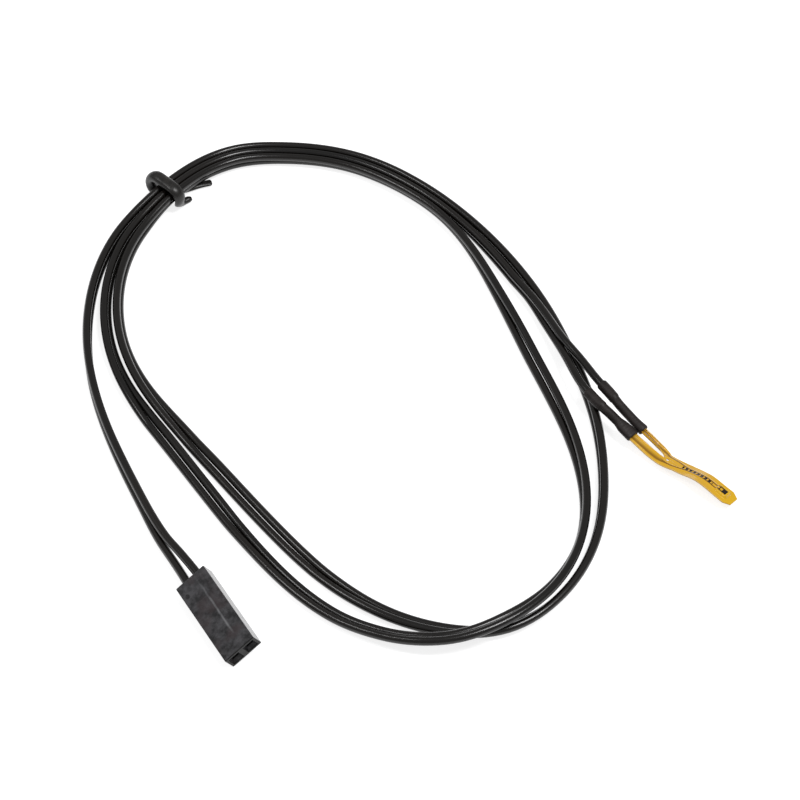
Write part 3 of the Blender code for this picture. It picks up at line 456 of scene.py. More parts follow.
wire = {
    "diameter": 0.00124,
    "gap": 0.00006,
    "laneGap": 0.0001,
    "tableGap": 0.00001,
    "sidesRound": 20,
    "ringsPerPoint": 9,
    "lengths": {"a": 0.704, "b": 0.701},
    "colour": "0A0807",
    "paintedSheen": "15110E",
    "patchSize": 0.004,
    "markSize": 0.0003,         # coarser than the real ones, so that they show
    "drawnOut": 0.08,           # the marks are one over this times as long as they are wide
}
wireRadius = wire["diameter"] / 2.0
wirePitch = wire["diameter"] + wire["gap"]
lanePitch = wire["diameter"] + wire["laneGap"]

# Rows: x, y, lift off the table, roll of the pair in degrees, extra gap between the wires, pieces
firstRise = [
    (-31.1, -30.1, 0.72, 139, 0.3, 1),
    (-33.3, -26.7, 0.28, 124, 0.08, 1),
    (-36.6, -20.4, 0.1, 108, 0.0, 1),
    (-39.7, -13.9, 0.0, 104, 0.0, 1),
    (-42.7, -7.0, 0.0, 98, 0.0, 1),
    (-45.4, 0.9, 0.0, 95, 0.0, 2),
    (-47.55, 14.35, 0.0, 84, 0.0, 3),
]
outerTurn = [
    (18.7, 24.7, 0.0, 92, 0.0, 1),
    (22.8, 16.1, 0.0, 87, 0.0, 1),
    (25.8, 7.3, 0.0, 80, 0.0, 1),
    (27.85, -0.1, 0.0, 82, 0.0, 2),
    (29.25, -14.3, 0.0, 82, 0.0, 1),
    (27.6, -26.35, 0.0, 78, 0.0, 1),
    (22.7, -35.6, 0.0, 70, 0.0, 1),
    (14.55, -41.45, 0.0, 45, 0.0, 1),
    (5.7, -41.6, 0.0, 28, 0.0, 1),
    (-2.9, -38.35, 0.0, 23, 0.0, 1),
    (-9.25, -33.7, 0.0, 6, 0.0, 2),
    (-18.3, -24.0, 0.0, -15, 0.0, 1),
    (-25.05, -15.5, 0.0, -18, 0.0, 1),
    (-32.5, -5.9, 0.0, 14, 0.0, 1),
    (-37.55, 1.05, 0.0, 41, 0.0, 1),
    (-42.0, 10.9, 0.0, 65, 0.0, 3),
]
innerTurn = [
    (14.75, 21.35, 0.0, 74, 0.0, 1),
    (17.65, 13.8, 0.0, 48, 0.0, 1),
    (20.3, 6.6, 0.0, 25, 0.0, 2),
    (26.0, -12.95, 0.0, 63, 0.0, 1),
    (25.75, -25.2, 0.2, 81, 0.0, 1),
    (21.3, -35.0, 1.3, 55, 0.0, 1),
    (13.75, -41.65, 2.2, 30, 0.0, 1),
    (6.1, -44.2, 1.8, 28, 0.0, 1),
    (-2.3, -42.7, 0.6, 26, 0.0, 1),
    (-9.3, -39.1, 0.0, 23, 0.0, 2),
    (-20.0, -28.4, 0.0, 14, 0.0, 1),
    (-27.5, -18.0, 0.0, -12, 0.0, 1),
    (-35.25, -6.65, 0.0, -5, 0.0, 2),
    (-40.3, 1.1, 0.0, 35, 0.0, 1),
    (-44.25, 11.55, 0.0, 64, 0.0, 3),
]
lastRun = [(17.5, 23.65, 0.0, 92, 0.0, 1)]

# Stretch that every turn shares under the tie: x, y, lift, roll, extra gap between turns, pieces
tiedRun = [
    (-42.0, 34.15, 0.3, 92, 0.2, 1),
    (-36.85, 41.71, 1.15, 110, -0.05, 2),
    (-27.3, 50.2, 0.3, 106, 0.0, 1),
    (-17.95, 51.55, 0.0, 114, 0.0, 1),
    (-8.45, 49.8, 0.0, 117, 0.0, 1),
    (-0.1, 45.25, 0.0, 117, 0.0, 1),
    (7.1, 38.7, 0.0, 110, 0.0, 2),
]

# Each wire's own way from the last shared row to its sleeve: x, y, z
tails = {
    "a": [(20.15, 18.8, 2.5), (22.45, 14.0, 2.9), (24.6, 9.1, 3.36), (26.95, 5.2, 3.34)],
    "b": [(19.7, 19.75, 1.0), (21.4, 15.6, 1.35), (23.05, 11.1, 2.0), (24.9, 5.6, 2.95)],
}

# Stations along the plug where the pair starts, in millimetres from its middle, and the wires' pitch there
plugStations = [(-2.09, plug["contactPitch"]), (-4.0, plug["contactPitch"]), (-7.0, 1.96)]


def plugRows():
    # Each wire lies straight in its crimp and leaves the rear of its cavity close to the middle wall
    rows = []
    for ahead, pitch in plugStations:
        lift = plugCentreHeight - (wireRadius + wire["tableGap"]) / mm - pitch / 2.0 * math.sin(plugRoll)
        rows.append((plug["x"] + plugAhead[0] * ahead, plug["y"] + plugAhead[1] * ahead, lift,
                     180.0 - plug["roll"], pitch - wirePitch / mm, 1))
    return rows


def laneRows(lane):
    # The tied stretch for one turn: outer, middle and inner turns lie in lanes 1, 0 and -1
    guide = cubicThrough([row[:2] for row in [innerTurn[-1]] + tiedRun + lastRun])
    ahead = unitRows(curveAt(guide, guide["knots"][1:-1])[1])
    rows = []
    for (x, y, lift, roll, gap, pieces), (wayX, wayY) in zip(tiedRun, ahead):
        shift = lane * (lanePitch / mm + gap)
        rows.append((x - wayY * shift, y + wayX * shift, lift, roll, 0.0, pieces))
    return rows


def pairPlaces(line, setting, knots, side):
    # Half of the pair's pitch out from its middle line, turned by the roll, with the lower wire on the table
    flat, slope = curveAt(line, knots)
    lift, roll, gap = steadyAt(setting, knots).T
    ahead = unitRows(slope)
    outward = np.column_stack([-ahead[:, 1], ahead[:, 0], np.zeros(len(ahead))])
    turn = np.radians(roll)
    half = (wirePitch + gap * mm) / 2.0
    height = wireRadius + wire["tableGap"] + half * np.abs(np.sin(turn)) + lift * mm
    reach = outward * np.cos(turn)[:, None] + up * np.sin(turn)[:, None]
    return tablePlaces(np.column_stack([flat, height / mm])) + reach * (half * side)[:, None]


def finer(knots, parts):
    # Splits every step of a row of knots into equal parts
    count = (len(knots) - 1) * parts
    return np.interp(np.arange(count + 1) / parts, np.arange(len(knots)), knots)


def wirePath(sideName):
    # Shared route up to its last row, then the wire's own tail into the sleeve
    rows = plugRows() + firstRise + laneRows(1) + outerTurn + laneRows(-1) + innerTurn + laneRows(0) + lastRun
    guideEnd = (tails["a"][0][0], tails["a"][0][1], 0.0, 92, 0.0, 1)
    pieces = [row[5] for row in rows]
    rows = rows + [guideEnd]
    line = cubicThrough([row[:2] for row in rows])
    setting = steadyThrough(line["knots"], [row[2:5] for row in rows])
    coarse = np.concatenate([np.linspace(first, last, count, endpoint=False) for first, last, count
                             in zip(line["knots"][:-1], line["knots"][1:], pieces)])
    side = sides[sideName]
    shared = pairPlaces(line, setting, coarse, side)
    inSleeve = np.array([sleeveStart, (sleeveStart + wireEnd) / 2.0, wireEnd])
    ownWay = np.concatenate([tablePlaces(tails[sideName]),
                             legPoints(sideName, inSleeve, 0.0, sleeve["legRoll"])])
    sharedRows = 5
    tail = cubicThrough(np.concatenate([shared[-sharedRows:], ownWay]))
    first = pairPlaces(line, setting, finer(coarse, wire["ringsPerPoint"])[:-1], side)
    last = curveAt(tail, finer(tail["knots"][sharedRows - 1:], wire["ringsPerPoint"]))[0]
    return np.concatenate([first, last])[::-1]


def wireMaterial(look):
    # Extruded soft PVC: near black with a warm cast, a thin gloss and faint draw marks along its length;
    # random lighter patches on it are a painted sheen
    material, tree, shader = newMaterial("extrudedWireJacket", Specular_IOR_Level=0.5)
    lay = addNode(tree, "Attribute", output="Vector", attribute_name="pattern")
    patches = addNode(tree, "TexNoise", {"Vector": lay, "Scale": 1.0 / look["patchSize"], "Detail": 2.0})
    # Random lighter patches: a painted sheen
    paintedSheen = addNode(tree, "MapRange", [patches, 0.35, 0.7])
    colour = addNode(tree, "Mix", {0: paintedSheen, 6: linear(look["colour"]), 7: linear(look["paintedSheen"])}, 2,
                     data_type="RGBA")
    tree.links.new(colour, shader.inputs["Base Color"])
    marks = addNode(tree, "TexNoise", {"Vector": lay, "Scale": 1.0 / look["markSize"], "Detail": 3.0,
                                       "Roughness": 0.6})
    tree.links.new(addNode(tree, "MapRange", [marks, 0.3, 0.7, 0.2, 0.27]), shader.inputs["Roughness"])
    bump = addNode(tree, "Bump", {"Height": marks, "Distance": 0.00001, "Strength": 0.15})
    tree.links.new(bump, shader.inputs["Normal"])
    return material


def makeWire(sideName, material):
    # Tube: rings of a circle carried along the path
    path = wirePath(sideName)
    slopes = np.gradient(path, axis=0)
    _, across, top = ringFrames(slopes)
    turns = np.arange(wire["sidesRound"]) * 2.0 * math.pi / wire["sidesRound"]
    reach = across[:, None] * np.cos(turns)[None, :, None] + top[:, None] * np.sin(turns)[None, :, None]
    points = path[:, None] + reach * wireRadius
    travelled = np.concatenate([[0.0], np.cumsum(np.linalg.norm(np.diff(path, axis=0), axis=1))])
    pattern = np.zeros(points.shape)
    pattern[..., 0] = np.cos(turns) * wireRadius
    pattern[..., 1] = np.sin(turns) * wireRadius
    pattern[..., 2] = travelled[:, None] * wire["drawnOut"] + sides[sideName]
    faces = loftFaces(len(path), wire["sidesRound"])
    piece = makePiece("insulated_wire_" + sideName, points, faces, material, ["wire_" + sideName],
                      pattern)
    leaves = legPoints(sideName, np.array([sleeveStart]), 0.0, sleeve["legRoll"])[0]
    return piece


wireJacket = wireMaterial(wire)
for sideName in sides:
    makeWire(sideName, wireJacket)
print("wires laid")


# Film head

def leadCentre(along):
    # The lead follows its leg, then swings in beside the other one
    return legCentre + (leadFrame["pitch"] / 2.0 - legCentre) * ease(
        (along - film["slotEnd"] - leadFrame["swingStart"]) / leadFrame["swing"])


def leadHalf(along):
    narrowed = ease((along - film["slotEnd"] + film["slotPoint"]) / leadFrame["narrowing"])
    return (leadFrame["wide"] + (leadFrame["narrow"] - leadFrame["wide"]) * narrowed) / 2.0


def leadHeight(along):
    # Underside of the lead, which steps up on to the chip
    climbed = ease((along - chipRear + leadFrame["step"] + chip["edge"] * 2.0) / leadFrame["step"])
    return film["gap"] + (chip["height"] + jointGap) * climbed


def coverHeight(along, across):
    # Underside of the upper film, pressed over the leads and the chip
    reach = np.abs(np.abs(across) - leadCentre(along)) - leadHalf(along) - film["foldStart"]
    overLead = leadHeight(along) + leadFrame["sheet"] + jointGap - film["gap"]
    overLead = overLead * (1.0 - ease(reach / film["fold"]))
    overLead = np.where(along > chipRear + chip["lap"] + film["fold"], 0.0, overLead)
    beside = np.maximum(np.abs(across) - chip["width"] / 2.0, 0.0)
    beyond = np.maximum(np.maximum(along - chipFront, chipRear - along), 0.0)
    overChip = chip["height"] + leadFrame["sheet"] + jointGap * 2.0
    fromChip = np.hypot(beside, beyond) - film["fold"]
    overChip = overChip * (1.0 - ease(fromChip / film["fold"] / film["chipFold"]))
    return film["gap"] + np.maximum(overLead, overChip)


def filmRows():
    # Row places with a row on every corner of the outline and on the hole's middle
    corners = [filmStart, film["slotEnd"] - film["slotPoint"], film["slotEnd"], film["holeAt"],
               tip - film["chamferLength"], tip]
    parts = [np.linspace(first, last, max(int(round((last - first) / film["rowStep"])), 2), endpoint=False)
             for first, last in zip(corners[:-1], corners[1:])]
    return np.concatenate(parts + [[tip]])


def filmPattern(sideName, along):
    # Flat pattern of one leg and its half of the strip: columns from the middle to the outer edge
    inner = film["slotWidth"] / 2.0 * np.clip((film["slotEnd"] - along) / film["slotPoint"], 0.0, 1.0)
    cut = np.clip((along - tip + film["chamferLength"]) / film["chamferLength"], 0.0, 1.0)
    outer = film["width"] / 2.0 - film["chamferWidth"] * cut
    share = np.linspace(0.0, 1.0, film["columns"] + 1)
    across = sides[sideName] * (inner[:, None] + (outer - inner)[:, None] * share)
    along = np.broadcast_to(along[:, None], across.shape)
    # Rings of the grid round the hole are drawn out to circles
    holeRing, outerRing = film["holeRing"], film["outerRing"]
    columnStep = film["width"] / 2.0 / film["columns"]
    fromHole = along - film["holeAt"]
    ring = np.maximum(np.abs(fromHole) / film["rowStep"], np.abs(across) / columnStep)
    far = np.hypot(fromHole, across)
    wanted = film["hole"] / 2.0 + (ring - holeRing) * columnStep
    near = ease((outerRing - ring) / (outerRing - holeRing))
    scale = np.where(far > tiny, (wanted * near + far * (1.0 - near)) / np.maximum(far, tiny), 1.0)
    scale = np.where((ring < outerRing) & (ring > holeRing - 0.5), scale, 1.0)
    return film["holeAt"] + fromHole * scale, across * scale, ring


def makeFilm(name, replaced, low, high, material):
    # Two faces over one slit pattern, joined by a wall wherever the pattern ends
    along = filmRows()
    columns = film["columns"] + 1
    count = len(along) * columns
    patterns = {sideName: filmPattern(sideName, along) for sideName in sides}
    numbers = {"a": np.arange(count).reshape(-1, columns), "b": np.arange(count).reshape(-1, columns) + count}
    joined = along >= film["slotEnd"] - tiny
    numbers["b"][joined, 0] = numbers["a"][joined, 0]
    quads = []
    for sideName in sides:
        part = numbers[sideName]
        corners = np.stack([part[:-1, :-1], part[1:, :-1], part[1:, 1:], part[:-1, 1:]], axis=-1)
        ring = patterns[sideName][2]
        kept = (ring[:-1, :-1] + ring[1:, :-1] + ring[1:, 1:] + ring[:-1, 1:]) / 4.0 > film["holeRing"] - 0.1
        corners = corners[kept]
        quads.append(corners if sideName == "a" else corners[:, ::-1])
    quads = np.concatenate(quads)
    points, flat = [], []
    for face in (high, low):
        for sideName in sides:
            place, across, _ = patterns[sideName]
            points.append(filmPoints(sideName, place, across, face(place, across)).reshape(-1, 3))
            flat.append(np.stack([place, across, np.zeros_like(place)], axis=-1).reshape(-1, 3) / mm)
    points, flat = np.concatenate(points), np.concatenate(flat)
    total = count * 2
    edges = np.concatenate([quads[:, [0, 1]], quads[:, [1, 2]], quads[:, [2, 3]], quads[:, [3, 0]]])
    ends = edges[~np.isin(edges[:, 0] * total + edges[:, 1], edges[:, 1] * total + edges[:, 0])]
    walls = np.stack([ends[:, 1], ends[:, 0], ends[:, 0] + total, ends[:, 1] + total], axis=-1)
    faces = np.concatenate([quads, quads[:, ::-1] + total, walls])
    used = np.unique(faces)
    renumber = np.zeros(total * 2, int)
    renumber[used] = np.arange(len(used))
    return makePiece(name, points[used], renumber[faces].tolist(), material, replaced,
                     flat[used], sharp=35.0)


filmLook = {
    "amber": "DCAA2C",
    "bright": "E0B01A",
    "brightFrom": 13.0,         # place along the film where it starts to brighten
    "brightTo": 17.0,
    "edge": "F0CB86",
    "cutEdge": 0.1,             # width of the pale band at the cut edge, partly a painted highlight
    "lead": "744A12",
    "legSoft": 0.224,           # how far a lead's shade fades beside it, in the leg and in the strip
    "stripSoft": 0.084,
    "legShade": 0.8,
    "stripShade": 0.9,
    "settle": 2.0,              # length over which the leg's look turns to the strip's
    "litSide": (-0.3, 0.1),     # across a leg's lead: faint on the slit's side, full at the outer one
    "litLeast": 0.25,
    "litOver": 1.0,             # length over which both sides become full in the strip
    "ink": "1E1206",
    "printFrom": 8.3,
    "printTo": 13.7,
    "printHalf": 0.34,
    "barPitch": 0.68,
    "barInk": 0.62,             # share of the pitch that is inked
    "chipOutline": 0.1,
    "rippleSize": 1.2,
}


def filmMaterial(name, printed):
    # Polyimide film with adhesive: amber gloss, brighter at the tip, with a pale band along its cut edges
    # that is partly a painted highlight. The leads and the chip are drawn on it as brown and dark bands,
    # from the same sizes as the solids; in the legs the lead's band also holds painted shade of the curl.
    look = filmLook
    material, tree, shader = newMaterial(name, Roughness=0.24, Specular_IOR_Level=0.35)
    flat = addNode(tree, "Attribute", output="Vector", attribute_name="pattern")
    parts = addNode(tree, "SeparateXYZ", [flat]).node.outputs
    along = parts["X"]
    beside = addNode(tree, "Math", [parts["Y"]], operation="ABSOLUTE")
    atTip = addNode(tree, "MapRange", [along, look["brightFrom"], look["brightTo"]])
    colour = addNode(tree, "Mix", {0: atTip, 6: linear(look["amber"]), 7: linear(look["bright"])}, 2,
                     data_type="RGBA")
    # The pale band along the outer cut edge is partly a painted highlight
    outerEdge = film["width"] / 2.0 / mm
    atEdge = addNode(tree, "MapRange", [beside, outerEdge - look["cutEdge"], outerEdge])
    colour = addNode(tree, "Mix", {0: atEdge, 6: colour, 7: linear(look["edge"])}, 2, data_type="RGBA")

    # The lead's middle and half width, as in leadCentre and leadHalf
    swingAt = (film["slotEnd"] + leadFrame["swingStart"]) / mm
    centre = addNode(tree, "MapRange", [along, swingAt, swingAt + leadFrame["swing"] / mm, legCentre / mm,
                                        leadFrame["pitch"] / 2.0 / mm], interpolation_type="SMOOTHSTEP")
    narrowAt = (film["slotEnd"] - film["slotPoint"]) / mm
    half = addNode(tree, "MapRange", [along, narrowAt, narrowAt + leadFrame["narrowing"] / mm,
                                      leadFrame["wide"] / 2.0 / mm, leadFrame["narrow"] / 2.0 / mm],
                   interpolation_type="SMOOTHSTEP")
    offLead = addNode(tree, "Math", [beside, centre], operation="SUBTRACT")
    fromLead = addNode(tree, "Math", [offLead], operation="ABSOLUTE")
    fromLead = addNode(tree, "Math", [fromLead, half], operation="SUBTRACT")
    settled = narrowAt + look["settle"]
    soft = addNode(tree, "MapRange", [along, narrowAt, settled, look["legSoft"], look["stripSoft"]],
                   interpolation_type="SMOOTHSTEP")
    shade = addNode(tree, "MapRange", [along, narrowAt, settled, look["legShade"], look["stripShade"]],
                    interpolation_type="SMOOTHSTEP")
    beforeChip = addNode(tree, "Math", [along, (chipRear + chip["lap"]) / mm], operation="LESS_THAN")
    # In the legs the lead's band is partly the lead seen through and partly painted shade of the curled leg,
    # faint on the slit's side and full on the outer one; in the strip it becomes even
    litFrom, litTo = look["litSide"]
    lit = addNode(tree, "MapRange", [offLead, litFrom, litTo, look["litLeast"], 1.0])
    pastLeg = addNode(tree, "MapRange", [along, narrowAt, narrowAt + look["litOver"]])
    lit = addNode(tree, "Math", [lit, pastLeg], operation="MAXIMUM")
    shows = addNode(tree, "MapRange", [fromLead, 0.0, soft, 1.0, 0.0])
    for factor in (beforeChip, shade, lit):
        shows = addNode(tree, "Math", [shows, factor], operation="MULTIPLY")
    colour = addNode(tree, "Mix", {0: shows, 6: colour, 7: linear(look["lead"])}, 2, data_type="RGBA")

    # The chip: its outline, and all of it past the ends of the leads
    fromMiddle = addNode(tree, "Math", [along, (chipRear + chipFront) / 2.0 / mm], operation="SUBTRACT")
    pastEnd = addNode(tree, "Math", [fromMiddle], operation="ABSOLUTE")
    pastEnd = addNode(tree, "Math", [pastEnd, chip["length"] / 2.0 / mm], operation="SUBTRACT")
    pastSide = addNode(tree, "Math", [beside, chip["width"] / 2.0 / mm], operation="SUBTRACT")
    fromChip = addNode(tree, "Math", [pastEnd, pastSide], operation="MAXIMUM")
    outline = look["chipOutline"]
    rim = addNode(tree, "Math", [fromChip, -outline / 4.0, outline * 0.75], operation="COMPARE")
    onChip = addNode(tree, "Math", [fromChip, 0.0], operation="LESS_THAN")
    pastLeads = addNode(tree, "Math", [along, (chipRear + chip["lap"]) / mm], operation="GREATER_THAN")
    bare = addNode(tree, "Math", [onChip, pastLeads], operation="MULTIPLY")
    dark = addNode(tree, "Math", [rim, bare], operation="MAXIMUM")
    if printed:
        # Plain bars where the print is
        turn = addNode(tree, "Math", [along, look["barPitch"]], operation="DIVIDE")
        bars = addNode(tree, "Math", [turn], operation="FRACT")
        bars = addNode(tree, "Math", [bars, look["barInk"]], operation="LESS_THAN")
        inHeight = addNode(tree, "Math", [beside, look["printHalf"]], operation="LESS_THAN")
        inLength = addNode(tree, "Math", [along, (look["printFrom"] + look["printTo"]) / 2.0,
                                          (look["printTo"] - look["printFrom"]) / 2.0], operation="COMPARE")
        for factor in (inHeight, inLength):
            bars = addNode(tree, "Math", [bars, factor], operation="MULTIPLY")
        dark = addNode(tree, "Math", [dark, bars], operation="MAXIMUM")
    colour = addNode(tree, "Mix", {0: dark, 6: colour, 7: linear(look["ink"])}, 2, data_type="RGBA")
    tree.links.new(colour, shader.inputs["Base Color"])
    place = addNode(tree, "TexCoord", output="Object")
    ripple = addNode(tree, "TexNoise", {"Vector": place, "Scale": 1.0 / (look["rippleSize"] * mm),
                                        "Detail": 2.0})
    bump = addNode(tree, "Bump", {"Height": ripple, "Distance": 0.00006, "Strength": 0.4})
    tree.links.new(bump, shader.inputs["Normal"])
    return material


def sheetBelow(along, across):
    return np.full(along.shape, -film["sheet"])


def sheetBase(along, across):
    return np.zeros(along.shape)


def sheetAbove(along, across):
    return coverHeight(along, across) + film["sheet"]


makeFilm("lower_film", ["film_bottom"], sheetBelow, sheetBase, filmMaterial("polyimideFilmLower", False))
makeFilm("upper_film", ["film_top"], coverHeight, sheetAbove, filmMaterial("polyimideFilmUpper", True))
print("films pressed")


# Shrink sleeves

# Rows: place from the mouth end in millimetres, inner half width, half height and height of the
# middle as shares of the neck's radius, and squareness
sleeveMouths = {
    "a": [(-2.3, 1.0, 1.0, 0.835, 2.0), (0.3, 1.22, 1.04, 0.835, 2.2)],
    "b": [(-3.4, 1.0, 1.0, 0.835, 2.0), (-2.0, 1.48, 0.9, 0.75, 2.4), (-0.05, 1.56, 0.76, 0.6, 3.0)],
}


def sleeveRings(sideName, along, widths, turns):
    # Rings of a squared ellipse: one over the power mean of its two half axes
    halfWide, halfHigh, power, rise = (column[:, None] for column in widths.T)
    wide, high = np.cos(turns)[None], np.sin(turns)[None]
    reach = (np.abs(wide / halfWide) ** power + np.abs(high / halfHigh) ** power) ** (-1.0 / power)
    grid = np.broadcast_to(along[:, None], reach.shape)
    return legPoints(sideName, grid, reach * wide, rise + reach * high)


def makeSleeve(sideName, material):
    # A wall with rounded ends between an outer and an inner surface of the same form
    fat = wireRadius + sleeve["boreGap"]
    axis = sleeve["legRoll"]
    neck = axis + film["sheet"] + sleeve["boreGap"]
    shoulder = wireEnd + sleeve["stepSetback"]
    mouth = sleeveMouths[sideName]
    rows = [(sleeveStart, fat, fat, 2.0, axis),
            (wireEnd, fat, fat, 2.0, axis),
            (shoulder, fat, fat, 2.0, axis),
            (shoulder + sleeve["step"], neck, neck, 2.0, axis),
            ((shoulder + sleeve["step"] + sleeveEnd + mouth[0][0] * mm) / 2.0, neck, neck, 2.0, axis)]
    rows += [(sleeveEnd + place * mm, wide * neck, high * neck, power, rise * neck)
             for place, wide, high, rise, power in mouth]
    form = steadyThrough([row[0] for row in rows], [row[1:] for row in rows])
    along = np.linspace(sleeveStart, rows[-1][0], sleeve["rings"])
    turns = np.arange(sleeve["sidesRound"]) * 2.0 * math.pi / sleeve["sidesRound"]
    fromEnd = np.minimum(along - along[0], along[-1] - along)
    rounded = np.sqrt(ease(fromEnd / sleeve["wall"] / sleeve["lipLength"]))
    wall = sleeve["wall"] * (sleeve["lipShare"] + (1.0 - sleeve["lipShare"]) * rounded)
    widths = steadyAt(form, along)
    thick = np.column_stack([wall, wall, np.zeros_like(wall), np.zeros_like(wall)])
    outer = sleeveRings(sideName, along, widths + thick, turns)
    inner = sleeveRings(sideName, along, widths, turns)
    points = np.concatenate([outer, inner[::-1]])
    faces = gridQuads(len(points), sleeve["sidesRound"], closedAcross=True, closedAlong=True).tolist()
    pattern = np.zeros(points.shape)
    both = np.concatenate([along, along[::-1]])
    pattern[..., 0], pattern[..., 1], pattern[..., 2] = np.cos(turns), np.sin(turns), both[:, None] / mm
    return makePiece("shrink_sleeve_" + sideName, points, faces, material, ["sleeve_" + sideName],
                     pattern, sharp=60.0)


sleeveLook = {
    "dark": "181311",
    "pale": "282120",
    "patchSize": 0.0012,
    "grainSize": 0.00012,       # coarser than the real one, so that it shows
}


def sleeveMaterial(look):
    # Heat-shrunk polyolefin: dull warm black, faint rings where it drew in, a fine grain
    material, tree, shader = newMaterial("shrunkPolyolefin", Roughness=0.5, Specular_IOR_Level=0.3)
    place = addNode(tree, "TexCoord", output="Object")
    patches = addNode(tree, "TexNoise", {"Vector": place, "Scale": 1.0 / look["patchSize"], "Detail": 3.0})
    paler = addNode(tree, "MapRange", [patches, 0.3, 0.7])
    colour = addNode(tree, "Mix", {0: paler, 6: linear(look["dark"]), 7: linear(look["pale"])}, 2,
                     data_type="RGBA")
    tree.links.new(colour, shader.inputs["Base Color"])
    lay = addNode(tree, "Attribute", output="Vector", attribute_name="pattern")
    drawn = addNode(tree, "Mapping", {"Vector": lay, "Scale": (0.35, 0.35, 2.2)})  # rings 0.45 mm apart
    rings = addNode(tree, "TexNoise", {"Vector": drawn, "Scale": 1.0, "Detail": 3.0})
    grain = addNode(tree, "TexNoise", {"Vector": place, "Scale": 1.0 / look["grainSize"], "Detail": 2.0})
    under = addNode(tree, "Bump", {"Height": rings, "Distance": 0.00008, "Strength": 0.6})
    bump = addNode(tree, "Bump", {"Height": grain, "Distance": 0.00001, "Strength": 0.5, "Normal": under})
    tree.links.new(bump, shader.inputs["Normal"])
    return material


sleeveFinish = sleeveMaterial(sleeveLook)
for sideName in sides:
    makeSleeve(sideName, sleeveFinish)
print("sleeves shrunk")


# Tie

# Rows: outward from the bundle's middle, height, along the bundle, the way its width faces in
# degrees from outward, its width and its thickness, in millimetres
tieRows = [
    (-2.60, 0.50, 7.00, 25, 1.40, 0.55),
    (-1.45, 0.50, 5.20, 28, 1.30, 0.75),
    (-0.60, 0.53, 3.50, 33, 1.30, 0.95),
    (0.45, 0.56, 1.80, 50, 1.50, 1.02),
    (1.70, 0.57, 0.35, 72, 1.70, 1.04),
    (3.05, 0.86, -0.30, 88, 1.80, 1.20),
    (3.70, 1.95, -0.35, 90, 1.95, 1.45),
    (3.45, 3.36, -0.30, 90, 2.15, 1.60),
    (2.45, 4.20, -0.30, 90, 2.20, 1.64),
    (0.90, 4.36, -0.40, 90, 2.20, 1.48),
    (-0.90, 4.42, -0.52, 90, 2.20, 1.30),
    (-2.30, 4.02, -0.60, 90, 2.15, 1.20),
    (-2.85, 2.90, -0.60, 90, 2.05, 1.15),
    (-2.50, 1.50, -0.45, 100, 1.75, 1.10),
    (-2.15, 0.72, 0.25, 140, 1.30, 1.05),
    (-2.25, 0.60, 1.20, 160, 1.15, 1.00),
    (-2.60, 0.60, 2.15, 150, 1.10, 1.00),
]
tie = {
    "heading": 51.0,
    "sidesRound": 28,
    "ringsPerRow": 9,
    "firstEnd": 0.0003,         # lengths over which the two free ends are rounded
    "lastEnd": 0.0006,
    "endShare": 0.6,            # share of the thickness that is left at the ends
    "dark": "141312",
    "pale": "282624",
    "patchSize": 0.0009,
    "grainSize": 0.00015,       # coarser than the real one, so that it shows
}


def tieMaterial(look):
    # Soft black elastomer: dull, with a low broad sheen and a fine moulded grain
    material, tree, shader = newMaterial("softElastomer", Roughness=0.34, Specular_IOR_Level=0.42)
    place = addNode(tree, "TexCoord", output="Object")
    patches = addNode(tree, "TexNoise", {"Vector": place, "Scale": 1.0 / look["patchSize"], "Detail": 2.0})
    paler = addNode(tree, "MapRange", [patches, 0.3, 0.7])
    colour = addNode(tree, "Mix", {0: paler, 6: linear(look["dark"]), 7: linear(look["pale"])}, 2,
                     data_type="RGBA")
    tree.links.new(colour, shader.inputs["Base Color"])
    grain = addNode(tree, "TexNoise", {"Vector": place, "Scale": 1.0 / look["grainSize"], "Detail": 2.0})
    bump = addNode(tree, "Bump", {"Height": grain, "Distance": 0.00001, "Strength": 0.5})
    tree.links.new(bump, shader.inputs["Normal"])
    return material


def makeTie(material):
    # Ellipse carried along a loop round the bundle, turning with the width's direction
    heading = math.radians(tie["heading"])
    alongWay = np.array([math.cos(heading), math.sin(heading), 0.0])
    outward = np.array([-math.sin(heading), math.cos(heading), 0.0])
    middle = tablePlaces((tiedRun[1][0], tiedRun[1][1], 0.0))
    rows = np.array(tieRows)
    places = middle + (rows[:, :1] * outward + rows[:, 1:2] * up + rows[:, 2:3] * alongWay) * mm
    curve = cubicThrough(np.column_stack([places, rows[:, 3], rows[:, 4:] * mm]))
    values, slopes = curveAt(curve, finer(curve["knots"], tie["ringsPerRow"]))
    ahead = unitRows(slopes[:, :3])
    facing = np.radians(values[:, 3])[:, None]
    wanted = outward * np.cos(facing) + alongWay * np.sin(facing)
    wide = unitRows(wanted - ahead * np.sum(wanted * ahead, axis=1, keepdims=True))
    thick = np.cross(ahead, wide)
    travelled = np.concatenate([[0.0], np.cumsum(np.linalg.norm(np.diff(values[:, :3], axis=0), axis=1))])
    fromEnd = np.minimum(travelled / tie["firstEnd"], (travelled[-1] - travelled) / tie["lastEnd"])
    soft = (tie["endShare"] + (1.0 - tie["endShare"]) * np.sqrt(ease(fromEnd)))[:, None, None]
    turns = np.arange(tie["sidesRound"]) * 2.0 * math.pi / tie["sidesRound"]
    ring = (wide[:, None] * (values[:, 4] / 2.0)[:, None, None] * np.cos(turns)[None, :, None]
            + thick[:, None] * (values[:, 5] / 2.0)[:, None, None] * np.sin(turns)[None, :, None])
    points = values[:, None, :3] + ring * soft
    return makePiece("bundle_cord_tie", points, loftFaces(len(points), tie["sidesRound"]), material,
                     ["bundle_tie"], sharp=60.0)


makeTie(tieMaterial(tie))
print("tie wound")


# Finishes of the pieces that keep their solids

def dress(names, material):
    for name in names:
        nodes[name].data.materials.clear()
        nodes[name].data.materials.append(material)


